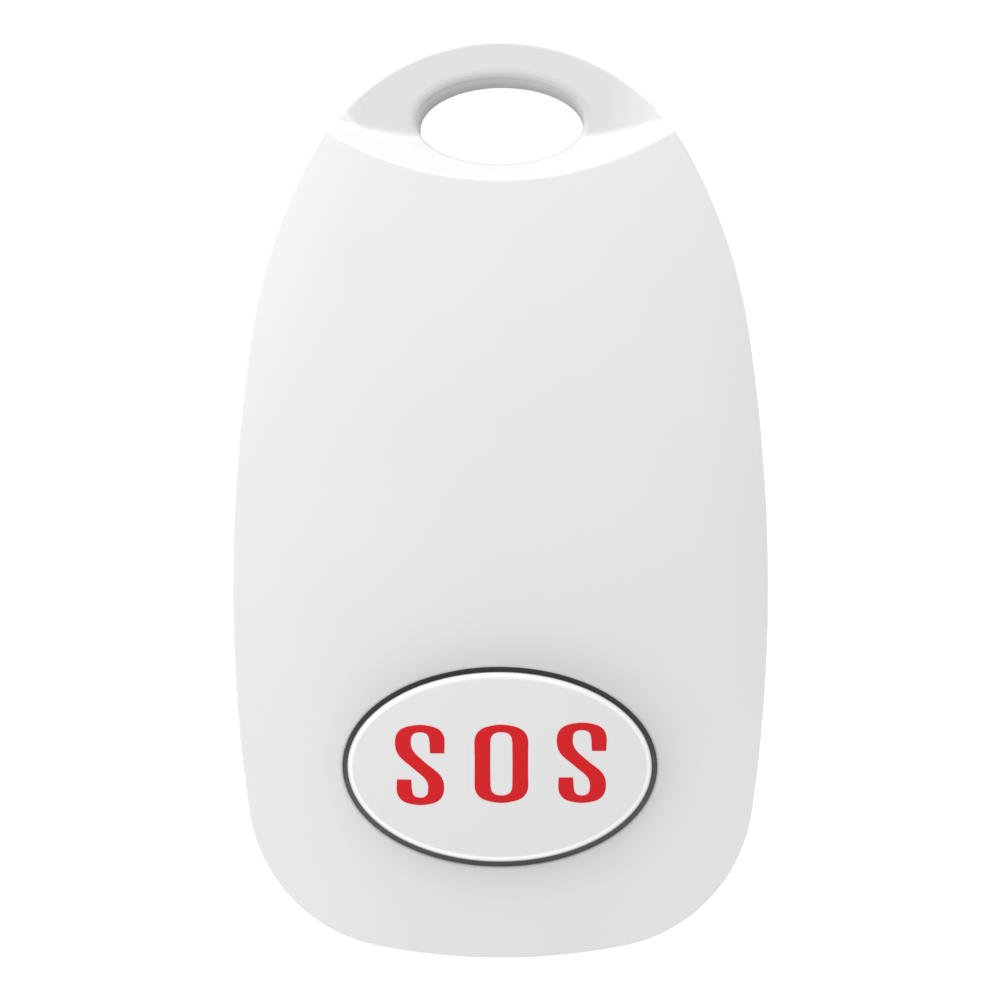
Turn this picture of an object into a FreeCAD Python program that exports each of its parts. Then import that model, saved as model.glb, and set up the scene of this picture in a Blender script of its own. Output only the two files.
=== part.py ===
import FreeCAD, Part
import math
import os
import Sketcher
from FreeCAD import Vector

# Wireless panic button, in millimetres. It lies on its back: X is its width, +Y runs towards the
# lanyard eye, +Z leaves the front face. The origin is the middle of the flat rear face.
# Two moulded covers close on a tongue and gasket. Between them lie a circuit board with a tactile
# switch above it and a coin cell below it. An oval cap slides in the front cover over a soft seal.

doc = FreeCAD.newDocument("PanicButton")
sheet = doc.addObject("Spreadsheet::Sheet", "Sizes")

SIZES = [
    # Housing outline, seen from the front
    ("body_length", 60.0),
    ("body_width", 35.0),
    ("nose_to_widest", 36.0),
    ("nose_step", 3.5),
    ("shoulder_angle", 29.0),
    ("upper_side_radius", 115.0),
    ("lower_side_radius", 104.0),
    ("corner_radius", 10.4),
    ("base_radius", 44.0),
    # Housing form, seen from the side
    ("body_height", 12.0),
    ("parting_share", 0.375),
    ("crown_shift", 1.0),
    ("crown_end_drop", 3.55),
    ("crown_side_drop", 3.16),
    ("front_edge_radius", 0.2),
    ("rear_edge_radius", 1.8),
    ("wall", 1.5),
    ("crown_wall", 1.1),
    ("floor_wall", 1.5),
    ("floor_edge_radius", 1.0),
    ("seam_chamfer", 0.12),
    # Lanyard eye and the stepped flange round it
    ("eye_margin", 5.3),
    ("eye_half_width", 5.48),
    ("eye_half_height", 2.87),
    ("eye_rim_radius", 0.4),
    ("flange_drop", 4.8),
    ("step_margin", 6.6),
    ("step_radius", 45.0),
    ("step_slope", 43.5),
    ("step_root_radius", 0.6),
    ("step_crease_radius", 0.35),
    # Push cap, its aperture and its seal
    ("button_margin", 12.6),
    ("aperture_side_margin", 7.26),
    ("aperture_half_height", 6.53),
    ("aperture_edge_radius", 0.15),
    ("cap_gap", 0.35),
    ("cap_rise", 0.6),
    ("cap_edge_radius", 0.4),
    ("cap_wall", 1.2),
    ("cap_flange_reach", 1.0),
    ("cap_flange_thickness", 0.6),
    ("cap_post_radius", 2.0),
    ("cap_post_height", 0.55),
    ("seat_drop", 3.3),
    ("seal_thickness", 0.5),
    ("seal_reach", 0.4),
    ("seal_lip_height", 0.7),
    ("seal_slack", 0.03),
    ("running_gap", 0.06),
    ("seat_margin", 0.2),
    # Tongue and gasket where the covers meet
    ("tongue_thickness", 0.7),
    ("tongue_height", 0.8),
    ("tongue_slack", 0.05),
    ("gasket_thickness", 0.4),
    # Screws and their bosses
    ("lower_screw_inset", 6.7),
    ("lower_screw_margin", 6.6),
    ("upper_screw_inset", 7.5),
    ("upper_screw_margin", 5.15),
    ("boss_radius", 2.1),
    ("column_radius", 2.4),
    ("pilot_radius", 0.975),
    ("pilot_drop", 4.3),
    ("screw_clearance_radius", 1.15),
    ("screw_radius", 0.95),
    ("screw_drop", 4.7),
    ("screw_tip", 0.4),
    ("head_radius", 1.85),
    ("head_height", 1.25),
    ("head_edge", 0.3),
    ("head_pocket_radius", 2.05),
    ("cross_length", 1.9),
    ("cross_width", 0.42),
    ("cross_depth", 0.7),
    # Circuit board and the posts that clamp it
    ("board_drop", 6.2),
    ("board_gap", 0.4),
    ("board_thickness", 0.8),
    ("notch_gap", 0.3),
    ("post_inset", 4.7),
    ("lower_post_lead", 8.0),
    ("upper_post_lead", 8.0),
    ("post_radius", 1.0),
    # Coin cell, its holder and its two contacts
    ("cell_lead", 0.8),
    ("cell_radius", 10.0),
    ("cell_cap_radius", 8.85),
    ("cell_cap_step", 0.4),
    ("cell_edge_radius", 0.5),
    ("cell_gap", 0.2),
    ("holder_wall", 1.3),
    ("finger_notch", 9.0),
    ("clip_lift", 0.15),
    ("clip_thickness", 0.2),
    ("clip_width", 5.0),
    ("clip_foot", 1.6),
    ("spring_room", 0.75),
    ("spring_half_length", 6.0),
    ("spring_thickness", 0.15),
    ("spring_width", 3.6),
    # Tactile switch under the cap
    ("switch_size", 6.0),
    ("switch_height", 1.4),
    ("switch_corner", 0.5),
    ("well_radius", 2.35),
    ("well_floor", 0.6),
    ("frame_thickness", 0.25),
    ("frame_hole_radius", 1.8),
    ("frame_tab_width", 2.0),
    ("frame_tab_length", 0.8),
    ("dome_radius", 2.2),
    ("dome_height", 0.4),
    ("dome_thickness", 0.1),
    ("plunger_radius", 1.7),
    ("plunger_collar_radius", 2.1),
    ("plunger_collar", 0.33),
    ("plunger_rise", 0.75),
    ("plunger_edge", 0.2),
    ("touch_gap", 0.04),
    ("terminal_width", 0.7),
    ("terminal_thickness", 0.2),
    ("terminal_foot", 1.0),
    ("terminal_rise", 0.7),
    ("terminal_spread", 2.2),
    # Parts soldered on the front of the board
    ("antenna_margin", 8.4),
    ("antenna_half_length", 8.0),
    ("antenna_rise", 1.6),
    ("antenna_thickness", 0.3),
    ("antenna_width", 1.2),
    ("chip_spread", 5.2),
    ("chip_lead", 3.6),
    ("radio_size", 5.0),
    ("radio_height", 0.9),
    ("radio_edge", 0.15),
    ("control_length", 4.9),
    ("control_width", 3.9),
    ("control_height", 1.4),
    ("control_lift", 0.12),
    ("lead_pitch", 1.27),
    ("lead_width", 0.42),
    ("lead_thickness", 0.2),
    ("lead_reach", 1.05),
    ("lead_rise", 0.7),
    ("crystal_length", 3.2),
    ("crystal_width", 2.5),
    ("crystal_height", 0.75),
    ("crystal_drop", 5.4),
    ("small_length", 1.6),
    ("small_width", 0.8),
    ("small_pitch", 1.9),
    ("capacitor_height", 0.8),
    ("resistor_height", 0.45),
    ("capacitor_row", 8.6),
    ("resistor_row", 5.6),
]
for row, (name, size) in enumerate(SIZES, start=1):
    sheet.set(f"A{row}", name)
    sheet.set(f"B{row}", str(size))
    sheet.setAlias(f"B{row}", name)
doc.recompute()

# Places worked out from the sizes: y and z stations on the object, and the outline's own geometry.
# The shoulder arc is tangent inside the upper side arc and outside the nose arc, which it meets
# where the nose has turned by the shoulder angle. The dome's two radii follow from how far it
# falls from its top to the base and to the sides. The joint between the covers, the board and the
# seat of the cap all hang from the body's height, and the cell fills what is left under the board.
LEVELS = [
    ("half_length", "Sizes.body_length / 2"),
    ("half_width", "Sizes.body_width / 2"),
    ("nose_radius", "Levels.half_width - Sizes.nose_step"),
    ("nose_y", "Levels.half_length - Levels.nose_radius"),
    ("base_y", "Sizes.base_radius - Levels.half_length"),
    ("widest_y", "Levels.half_length - Sizes.nose_to_widest"),
    ("upper_side_x", "Sizes.upper_side_radius - Levels.half_width"),
    ("lower_side_x", "Sizes.lower_side_radius - Levels.half_width"),
    ("nose_to_side", "Levels.nose_y - Levels.widest_y"),
    ("radius_fall", "Sizes.upper_side_radius - Levels.nose_radius"),
    (
        "shoulder_growth",
        "(Levels.radius_fall ^ 2 - Levels.upper_side_x ^ 2 - Levels.nose_to_side ^ 2) / 2 / "
        "(Levels.radius_fall - Levels.upper_side_x * cos(Sizes.shoulder_angle * 1 deg)"
        " - Levels.nose_to_side * sin(Sizes.shoulder_angle * 1 deg))",
    ),
    ("shoulder_radius", "Levels.nose_radius + Levels.shoulder_growth"),
    ("shoulder_y", "Levels.nose_y - Levels.shoulder_growth * sin(Sizes.shoulder_angle * 1 deg)"),
    ("parting_height", "Sizes.body_height * Sizes.parting_share"),
    ("crown_y", "0 - Sizes.crown_shift"),
    ("crown_reach", "Levels.half_length - Sizes.crown_shift"),
    (
        "crown_long_radius",
        "(Levels.crown_reach ^ 2 + Sizes.crown_end_drop ^ 2) / (2 * Sizes.crown_end_drop)",
    ),
    (
        "crown_cross_radius",
        "(Levels.half_width ^ 2 + Sizes.crown_side_drop ^ 2) / (2 * Sizes.crown_side_drop)",
    ),
    ("crown_axis", "Sizes.body_height - Levels.crown_long_radius"),
    ("flange_height", "Sizes.body_height - Sizes.flange_drop"),
    ("eye_y", "Levels.half_length - Sizes.eye_margin"),
    ("eye_low", "Levels.eye_y - Sizes.eye_half_height"),
    ("step_y", "Levels.half_length - Sizes.step_margin"),
    ("button_y", "Sizes.button_margin - Levels.half_length"),
    ("aperture_half_width", "Levels.half_width - Sizes.aperture_side_margin"),
    ("cap_half_width", "Levels.aperture_half_width - Sizes.cap_gap"),
    ("cap_half_height", "Sizes.aperture_half_height - Sizes.cap_gap"),
    ("seat_height", "Sizes.body_height - Sizes.seat_drop"),
    ("seal_under", "Levels.seat_height - Sizes.seal_thickness"),
    ("cap_flange_top", "Levels.seal_under - Sizes.running_gap"),
    ("cap_under", "Levels.cap_flange_top - Sizes.cap_flange_thickness"),
    ("rebate_inset", "Sizes.wall - Sizes.tongue_thickness - Sizes.tongue_slack"),
    ("tongue_top", "Levels.parting_height + Sizes.tongue_height"),
    ("rebate_top", "Levels.tongue_top + Sizes.gasket_thickness"),
    ("lower_screw_x", "Levels.half_width - Sizes.lower_screw_inset"),
    ("lower_screw_y", "Sizes.lower_screw_margin - Levels.half_length"),
    ("upper_screw_x", "Levels.half_width - Sizes.upper_screw_inset"),
    ("upper_screw_y", "Levels.eye_low - Sizes.upper_screw_margin"),
    ("head_seat", "Sizes.floor_wall"),
    ("screw_length", "Sizes.body_height - Sizes.screw_drop - Levels.head_seat"),
    ("pilot_depth", "Sizes.body_height - Sizes.pilot_drop - Levels.parting_height"),
    ("post_x", "Levels.half_width - Sizes.post_inset"),
    ("cell_y", "0 - Sizes.cell_lead"),
    ("lower_post_y", "Levels.cell_y - Sizes.lower_post_lead"),
    ("upper_post_y", "Levels.cell_y + Sizes.upper_post_lead"),
    ("clip_under", "Sizes.floor_wall + Sizes.clip_lift"),
    ("cell_under", "Levels.clip_under + Sizes.clip_thickness"),
    ("board_under", "Sizes.body_height - Sizes.board_drop"),
    ("cell_top", "Levels.board_under - Sizes.spring_room"),
    ("board_top", "Levels.board_under + Sizes.board_thickness"),
    ("holder_bore", "Sizes.cell_radius + Sizes.cell_gap"),
    ("holder_radius", "Levels.holder_bore + Sizes.holder_wall"),
    ("well_level", "Levels.board_top + Sizes.well_floor"),
    ("switch_top", "Levels.board_top + Sizes.switch_height"),
    ("frame_top", "Levels.switch_top + Sizes.frame_thickness"),
    ("plunger_top", "Levels.frame_top + Sizes.plunger_rise"),
    ("post_under", "Levels.plunger_top + Sizes.touch_gap"),
    ("cap_hollow_top", "Levels.post_under + Sizes.cap_post_height"),
]
levels = doc.addObject("App::VarSet", "Levels")
for name, formula in LEVELS:
    levels.addProperty("App::PropertyFloat", name, "Levels")
    levels.setExpression(name, formula)
    doc.recompute()


def number(formula):
    """The present value of a formula on the sheet's sizes."""
    return float(sheet.evalExpression(formula))


def bind(feature, **formulas):
    """Tie properties of a feature to formulas on the sheet."""
    for name, formula in formulas.items():
        feature.setExpression(name, formula)


def new_body(label):
    body = doc.addObject("PartDesign::Body", label)
    body.AllowCompound = True
    return body


def new_sketch(body, name, role="XY_Plane", level=None, rise=None):
    """A sketch on one of the body's own planes, lifted off it by level and shifted along its V axis
    by rise. On the XZ plane a positive level goes towards -Y."""
    sketch = body.newObject("Sketcher::SketchObject", name)
    plane = next(item for item in body.Origin.OriginFeatures if item.Role == role)
    sketch.AttachmentSupport = [(plane, "")]
    sketch.MapMode = "FlatFace"
    if level is not None:
        sketch.setExpression("AttachmentOffset.Base.z", level)
    if rise is not None:
        sketch.setExpression("AttachmentOffset.Base.y", rise)
    return sketch


def dimension(sketch, kind, *places, size):
    """Add a driving dimension whose size is a formula."""
    index = sketch.addConstraint(Sketcher.Constraint(kind, *places, number(size)))
    sketch.setExpression(f"Constraints[{index}]", size)


def place_point(sketch, item, point, x, y):
    """Dimension a point from the sketch's origin. None puts it on that axis."""
    if x is None:
        sketch.addConstraint(Sketcher.Constraint("PointOnObject", item, point, -2))
    else:
        dimension(sketch, "DistanceX", -1, 1, item, point, size=x)
    if y is None:
        sketch.addConstraint(Sketcher.Constraint("PointOnObject", item, point, -1))
    else:
        dimension(sketch, "DistanceY", -1, 1, item, point, size=y)


def circle(sketch, x, y, radius):
    centre = Vector(number(x) if x else 0, number(y) if y else 0)
    item = sketch.addGeometry(Part.Circle(centre, Vector(0, 0, 1), number(radius)))
    place_point(sketch, item, 3, x, y)
    dimension(sketch, "Radius", item, size=radius)
    return item


def ellipse(sketch, y, half_width, half_height):
    """An ellipse on the Y axis, wider than it is high, held by the lengths of its two axes."""
    curve = Part.Ellipse(Vector(0, number(y)), number(half_width), number(half_height))
    item = sketch.addGeometry(curve)
    sketch.exposeInternalGeometry(item)
    sketch.addConstraint(Sketcher.Constraint("Horizontal", item + 1))
    dimension(sketch, "Distance", item + 1, size=f"2 * ({half_width})")
    dimension(sketch, "Distance", item + 2, size=f"2 * ({half_height})")
    place_point(sketch, item, 3, None, y)


def polygon(sketch, corners):
    """A closed run of straight lines through corners, each a pair of formulas."""
    points = [Vector(number(x), number(y)) for x, y in corners]
    lines = [Part.LineSegment(a, b) for a, b in zip(points, points[1:] + points[:1])]
    first = sketch.addGeometry(lines)[0]
    for index, (x, y) in enumerate(corners):
        after = first + (index + 1) % len(corners)
        sketch.addConstraint(Sketcher.Constraint("Coincident", first + index, 2, after, 1))
        place_point(sketch, first + index, 1, x, y)


def rectangle(sketch, x, y, width, height):
    """A rectangle about the point x, y."""
    left, right = f"{x} - ({width}) / 2", f"{x} + ({width}) / 2"
    low, high = f"{y} - ({height}) / 2", f"{y} + ({height}) / 2"
    polygon(sketch, [(left, low), (right, low), (right, high), (left, high)])


def meeting(first, first_reach, second, second_reach):
    """The point with the larger x that lies at a given reach from each of two points."""
    span = second - first
    along = (first_reach**2 - second_reach**2 + span.Length**2) / (2 * span.Length)
    across = math.sqrt(first_reach**2 - along**2)
    unit = span / span.Length
    base = first + unit * along
    normal = Vector(-unit.y, unit.x) * across
    return max(base + normal, base - normal, key=lambda point: point.x)


def loop_arcs(inset):
    """The right half of the housing's loop from the base to the nose, as arcs that each touch the
    next: centre, present radius and the radius's formula, all moved inwards by inset."""
    wide = number("Levels.widest_y")
    base = Vector(0, number("Levels.base_y"))
    nose = Vector(0, number("Levels.nose_y"))
    lower = Vector(-number("Levels.lower_side_x"), wide)
    upper = Vector(-number("Levels.upper_side_x"), wide)
    corner = meeting(
        base,
        number("Sizes.base_radius - Sizes.corner_radius"),
        lower,
        number("Sizes.lower_side_radius - Sizes.corner_radius"),
    )
    turn = math.radians(number("Sizes.shoulder_angle"))
    shoulder = nose - Vector(math.cos(turn), math.sin(turn)) * number("Levels.shoulder_growth")
    centres = [base, corner, lower, upper, shoulder, nose]
    radii = [
        "Sizes.base_radius",
        "Sizes.corner_radius",
        "Sizes.lower_side_radius",
        "Sizes.upper_side_radius",
        "Levels.shoulder_radius",
        "Levels.nose_radius",
    ]
    formulas = [f"{radius} - ({inset})" for radius in radii]
    return [(c, number(f), f) for c, f in zip(centres, formulas)]


def joint_angle(one, two):
    """Direction from either centre to the point where two arcs touch from inside."""
    big, small = (one, two) if one[1] > two[1] else (two, one)
    line = small[0] - big[0]
    return math.atan2(line.y, line.x)


def mirrored(arc):
    centre, radius, formula = arc
    return Vector(-centre.x, centre.y), radius, formula


def add_arc(sketch, arc, start, end):
    centre, radius, _ = arc
    curve = Part.Circle(centre, Vector(0, 0, 1), radius)
    return sketch.addGeometry(Part.ArcOfCircle(curve, start, end))


def hold_sides(sketch, lower, upper, base):
    """Dimension the centres of the side arcs. Both pairs lie on the widest level."""
    for item, sense in zip(lower, (1, -1)):
        ends = (item, 3, -1, 1) if sense > 0 else (-1, 1, item, 3)
        dimension(sketch, "DistanceX", *ends, size="Levels.lower_side_x")
    for item in lower + upper:
        dimension(sketch, "DistanceY", item, 3, base, 3, size="Levels.base_y - Levels.widest_y")
    place_point(sketch, base, 3, None, "Levels.base_y")


def outline(sketch, inset="0"):
    """The whole rounded outline: base, corners, sides, shoulders and nose, ten arcs."""
    right = loop_arcs(inset)
    arcs = right + [mirrored(arc) for arc in reversed(right[1:-1])]
    items = []
    for index, arc in enumerate(arcs):
        start = joint_angle(arcs[index - 1], arc)
        end = joint_angle(arc, arcs[(index + 1) % len(arcs)])
        items.append(add_arc(sketch, arc, start, end))
    for index, item in enumerate(items):
        after = items[(index + 1) % len(items)]
        sketch.addConstraint(Sketcher.Constraint("Tangent", item, 2, after, 1))
        dimension(sketch, "Radius", item, size=arcs[index][2])
    base, _, lower, upper, _, nose, _, far_upper, far_lower, _ = items
    hold_sides(sketch, [lower, far_lower], [upper, far_upper], base)
    place_point(sketch, nose, 3, None, "Levels.nose_y")


def chamber(sketch, inset):
    """The outline moved inwards and closed by a straight wall below the lanyard eye."""
    right = loop_arcs(inset)[:-1]
    arcs = [mirrored(arc) for arc in reversed(right[1:])] + right
    wall_y = f"Levels.eye_low - ({inset})"
    centre, radius, _ = right[-1]
    lift = math.asin((number(wall_y) - centre.y) / radius)
    items = []
    for index, arc in enumerate(arcs):
        start = joint_angle(arcs[index - 1], arc) if index else math.pi - lift
        end = joint_angle(arc, arcs[index + 1]) if index < len(arcs) - 1 else lift
        items.append(add_arc(sketch, arc, start, end))
    reach = centre.x + radius * math.cos(lift)
    ends = Vector(reach, number(wall_y)), Vector(-reach, number(wall_y))
    wall = sketch.addGeometry(Part.LineSegment(*ends))
    for item, after in zip(items, items[1:]):
        sketch.addConstraint(Sketcher.Constraint("Tangent", item, 2, after, 1))
    for item, arc in zip(items, arcs):
        dimension(sketch, "Radius", item, size=arc[2])
    sketch.addConstraint(Sketcher.Constraint("Coincident", items[-1], 2, wall, 1))
    sketch.addConstraint(Sketcher.Constraint("Coincident", items[0], 1, wall, 2))
    sketch.addConstraint(Sketcher.Constraint("Horizontal", wall))
    dimension(sketch, "DistanceY", -1, 1, wall, 1, size=wall_y)
    for shoulder in (items[0], items[-1]):
        dimension(sketch, "DistanceY", -1, 1, shoulder, 3, size="Levels.shoulder_y")
    far_upper, far_lower, _, base, _, lower, upper = items[1:-1]
    hold_sides(sketch, [lower, far_lower], [upper, far_upper], base)


def pad(body, sketch, name, length, **more):
    feature = body.newObject("PartDesign::Pad", name)
    feature.Profile = sketch
    bind(feature, Length=length, **more)
    return feature


def pocket(body, sketch, name, length, upwards=False, **more):
    """Cut the sketch's profile down from its plane, or up from it."""
    feature = body.newObject("PartDesign::Pocket", name)
    feature.Profile = sketch
    feature.Reversed = upwards
    bind(feature, Length=length, **more)
    return feature


def turned(body, kind, name, sketch, axis):
    feature = body.newObject(f"PartDesign::{kind}", name)
    feature.Profile = sketch
    feature.ReferenceAxis = (sketch, [axis])
    feature.Angle = 360
    return feature


def edge_names(feature, wanted):
    """Names of the edges whose middle and quarter points all pass a test."""
    names = []
    for index, edge in enumerate(feature.Shape.Edges, start=1):
        first, last = edge.ParameterRange
        spots = [edge.valueAt(first + (last - first) * share) for share in (0.25, 0.5, 0.75)]
        if all(wanted(spot) for spot in spots):
            names.append(f"Edge{index}")
    if not names:
        raise RuntimeError(f"no edge found on {feature.Label}")
    return names


def rounded(body, base, name, wanted, radius):
    doc.recompute()
    feature = body.newObject("PartDesign::Fillet", name)
    feature.Base = (base, edge_names(base, wanted))
    bind(feature, Radius=radius)
    return feature


def chamfered(body, base, name, wanted, size):
    doc.recompute()
    feature = body.newObject("PartDesign::Chamfer", name)
    feature.Base = (base, edge_names(base, wanted))
    bind(feature, Size=size)
    return feature


def near(first, second, slack=0.02):
    return abs(first - second) < slack


def cut_crown(body, name, lift, half_span, clear_height):
    """Groove away all that is above the domed front. The dome is a ring surface: an arc across the
    body is turned about an axis far behind it. lift moves the dome out along its normal."""
    sketch = new_sketch(
        body,
        f"{name}_profile",
        "XZ_Plane",
        level="0 - Levels.crown_y",
        rise="Levels.crown_axis",
    )
    centre = "Levels.crown_long_radius - Levels.crown_cross_radius"
    radius = f"Levels.crown_cross_radius + ({lift})"
    top = f"Levels.crown_long_radius + {clear_height}"
    reach = number(half_span)
    turn = math.asin(reach / number(radius))
    arc = Part.Circle(Vector(0, number(centre)), Vector(0, 0, 1), number(radius))
    middle = math.pi / 2
    bow = sketch.addGeometry(Part.ArcOfCircle(arc, middle - turn, middle + turn))
    shoulder = number(centre) + number(radius) * math.cos(turn)
    corners = [
        Vector(-reach, shoulder),
        Vector(-reach, number(top)),
        Vector(reach, number(top)),
        Vector(reach, shoulder),
    ]
    sides = sketch.addGeometry([Part.LineSegment(a, b) for a, b in zip(corners, corners[1:])])
    left, over, right = sides
    for one, end, two, start in (
        (bow, 2, left, 1),
        (left, 2, over, 1),
        (over, 2, right, 1),
        (right, 2, bow, 1),
    ):
        sketch.addConstraint(Sketcher.Constraint("Coincident", one, end, two, start))
    sketch.addConstraint(Sketcher.Constraint("Vertical", left))
    sketch.addConstraint(Sketcher.Constraint("Vertical", right))
    sketch.addConstraint(Sketcher.Constraint("Horizontal", over))
    dimension(sketch, "Radius", bow, size=radius)
    place_point(sketch, bow, 3, None, centre)
    dimension(sketch, "DistanceX", -1, 1, right, 1, size=half_span)
    dimension(sketch, "DistanceX", left, 1, -1, 1, size=half_span)
    dimension(sketch, "DistanceY", -1, 1, right, 1, size=top)
    return turned(body, "Groove", name, sketch, "H_Axis")


SCREW_SPOTS = [
    (f"{side} * Levels.{row}_screw_x", f"Levels.{row}_screw_y")
    for row in ("lower", "upper")
    for side in ("-1", "1")
]
POST_SPOTS = [
    (f"{side} * Levels.post_x", f"Levels.{row}_post_y")
    for row in ("lower", "upper")
    for side in ("-1", "1")
]


def spots_sketch(body, name, level, spots, radius):
    sketch = new_sketch(body, name, level=level)
    for x, y in spots:
        circle(sketch, x, y, radius)
    return sketch


def build_rear_cover():
    """Flat tray with a soft rear edge, screw columns, board posts and the tongue."""
    body = new_body("rear_cover")
    sketch = new_sketch(body, "rear_outline")
    outline(sketch)
    block = pad(body, sketch, "rear_block", "Levels.parting_height")
    soft = rounded(body, block, "rear_edge", lambda p: near(p.z, 0), "Sizes.rear_edge_radius")
    seam = chamfered(
        body,
        soft,
        "rear_seam",
        lambda p: near(p.z, number("Levels.parting_height")),
        "Sizes.seam_chamfer",
    )
    sketch = new_sketch(body, "rear_chamber_outline", level="Levels.parting_height")
    chamber(sketch, "Sizes.wall")
    hollow = pocket(
        body, sketch, "rear_chamber", "Levels.parting_height - Sizes.floor_wall"
    )
    rounded(
        body,
        hollow,
        "rear_chamber_floor",
        lambda p: near(p.z, number("Sizes.floor_wall")),
        "Sizes.floor_edge_radius",
    )
    sketch = spots_sketch(
        body, "column_circles", "Levels.parting_height", SCREW_SPOTS, "Sizes.column_radius"
    )
    columns = pad(body, sketch, "screw_columns", "Levels.parting_height - Sizes.floor_wall / 2")
    columns.Reversed = True
    sketch = spots_sketch(
        body, "post_circles", "Levels.board_under", POST_SPOTS, "Sizes.post_radius"
    )
    posts = pad(body, sketch, "board_posts", "Levels.board_under - Sizes.floor_wall / 2")
    posts.Reversed = True
    sketch = new_sketch(body, "tongue_outline", level="Levels.parting_height")
    chamber(sketch, "Sizes.wall - Sizes.tongue_thickness")
    chamber(sketch, "Sizes.wall")
    pad(body, sketch, "tongue", "Sizes.tongue_height")
    sketch = spots_sketch(body, "head_circles", None, SCREW_SPOTS, "Sizes.head_pocket_radius")
    pocket(body, sketch, "head_pockets", "Levels.head_seat", upwards=True)
    sketch = spots_sketch(
        body, "clearance_circles", None, SCREW_SPOTS, "Sizes.screw_clearance_radius"
    )
    pocket(body, sketch, "screw_clearance", "Levels.parting_height", upwards=True)
    sketch = new_sketch(body, "rear_eye_oval")
    ellipse(sketch, "Levels.eye_y", "Sizes.eye_half_width", "Sizes.eye_half_height")
    eye = pocket(body, sketch, "rear_eye", "Levels.parting_height", upwards=True)
    rounded(
        body,
        eye,
        "rear_eye_rim",
        lambda p: near(p.z, 0) and near_eye(p),
        "Sizes.eye_rim_radius",
    )
    return body


def near_wall(spot):
    """True on the housing's side wall."""
    here = Vector(abs(spot.x), spot.y)
    return any(near((here - centre).Length, radius) for centre, radius, _ in loop_arcs("0"))


def near_oval(spot, y, half_width, half_height):
    """True on the upright wall of an oval about the point 0, y."""
    across = spot.x / number(half_width)
    along = (spot.y - number(y)) / number(half_height)
    return near(math.hypot(across, along), 1, slack=0.002)


def near_eye(spot):
    return near_oval(spot, "Levels.eye_y", "Sizes.eye_half_width", "Sizes.eye_half_height")


def step_profile(sketch):
    """The flange's edge against the dome: a shallow arc from side to side, closed beyond the nose."""
    far = "Levels.half_length + Sizes.wall"
    middle = "Levels.step_y + Sizes.step_radius"
    far_y, middle_y, x, r = (
        number(size) for size in (far, middle, "Levels.half_width", "Sizes.step_radius")
    )
    turn = math.asin(x / r)
    bow = Part.Circle(Vector(0, middle_y), Vector(0, 0, 1), r)
    bow = sketch.addGeometry(Part.ArcOfCircle(bow, -math.pi / 2 - turn, -math.pi / 2 + turn))
    end_y = middle_y - r * math.cos(turn)
    corners = [Vector(x, end_y), Vector(x, far_y), Vector(-x, far_y), Vector(-x, end_y)]
    sides = sketch.addGeometry([Part.LineSegment(a, b) for a, b in zip(corners, corners[1:])])
    right, over, left = sides
    for one, two in ((bow, right), (right, over), (over, left), (left, bow)):
        sketch.addConstraint(Sketcher.Constraint("Coincident", one, 2, two, 1))
    sketch.addConstraint(Sketcher.Constraint("Horizontal", over))
    sketch.addConstraint(Sketcher.Constraint("Vertical", right))
    sketch.addConstraint(Sketcher.Constraint("Vertical", left))
    dimension(sketch, "Radius", bow, size="Sizes.step_radius")
    place_point(sketch, bow, 3, None, middle)
    dimension(sketch, "DistanceY", -1, 1, over, 1, size=far)
    dimension(sketch, "DistanceX", -1, 1, right, 1, size="Levels.half_width")
    dimension(sketch, "DistanceX", left, 1, -1, 1, size="Levels.half_width")


def build_front_chamber():
    """The hollow inside the front cover, with room left for bosses, pins and the seal's seat."""
    body = new_body("front_chamber")
    below = "Levels.parting_height - Sizes.wall"
    sketch = new_sketch(body, "front_chamber_outline", level=below)
    chamber(sketch, "Sizes.wall")
    pad(body, sketch, "front_chamber_block", "Sizes.body_height")
    sketch = new_sketch(body, "rebate_outline", level=below)
    chamber(sketch, "Levels.rebate_inset")
    pad(body, sketch, "rebate", f"Levels.rebate_top - ({below})")
    cut_crown(
        body, "inner_crown", "0 - Sizes.crown_wall", "Sizes.body_width * 0.6", "Sizes.body_height"
    )
    seat = (
        "Levels.button_y",
        "Levels.cap_half_width + Sizes.cap_flange_reach + Sizes.seal_reach + Sizes.seat_margin",
        "Levels.cap_half_height + Sizes.cap_flange_reach + Sizes.seal_reach + Sizes.seat_margin",
    )
    sketch = new_sketch(body, "seat_oval", level="Levels.seat_height")
    ellipse(sketch, *seat)
    pocket(body, sketch, "seat_land", "Sizes.body_height", upwards=True)
    sketch = new_sketch(body, "seat_room_oval", level="Levels.seat_height")
    ellipse(sketch, *seat)
    room = pad(body, sketch, "seat_room", "Levels.seat_height - Levels.parting_height")
    room.Reversed = True
    sketch = spots_sketch(body, "boss_circles", below, SCREW_SPOTS, "Sizes.boss_radius")
    pocket(body, sketch, "bosses", "Sizes.body_height", upwards=True)
    sketch = spots_sketch(body, "pin_circles", "Levels.board_top", POST_SPOTS, "Sizes.post_radius")
    pocket(body, sketch, "board_pins", "Sizes.body_height", upwards=True)
    return body


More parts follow.
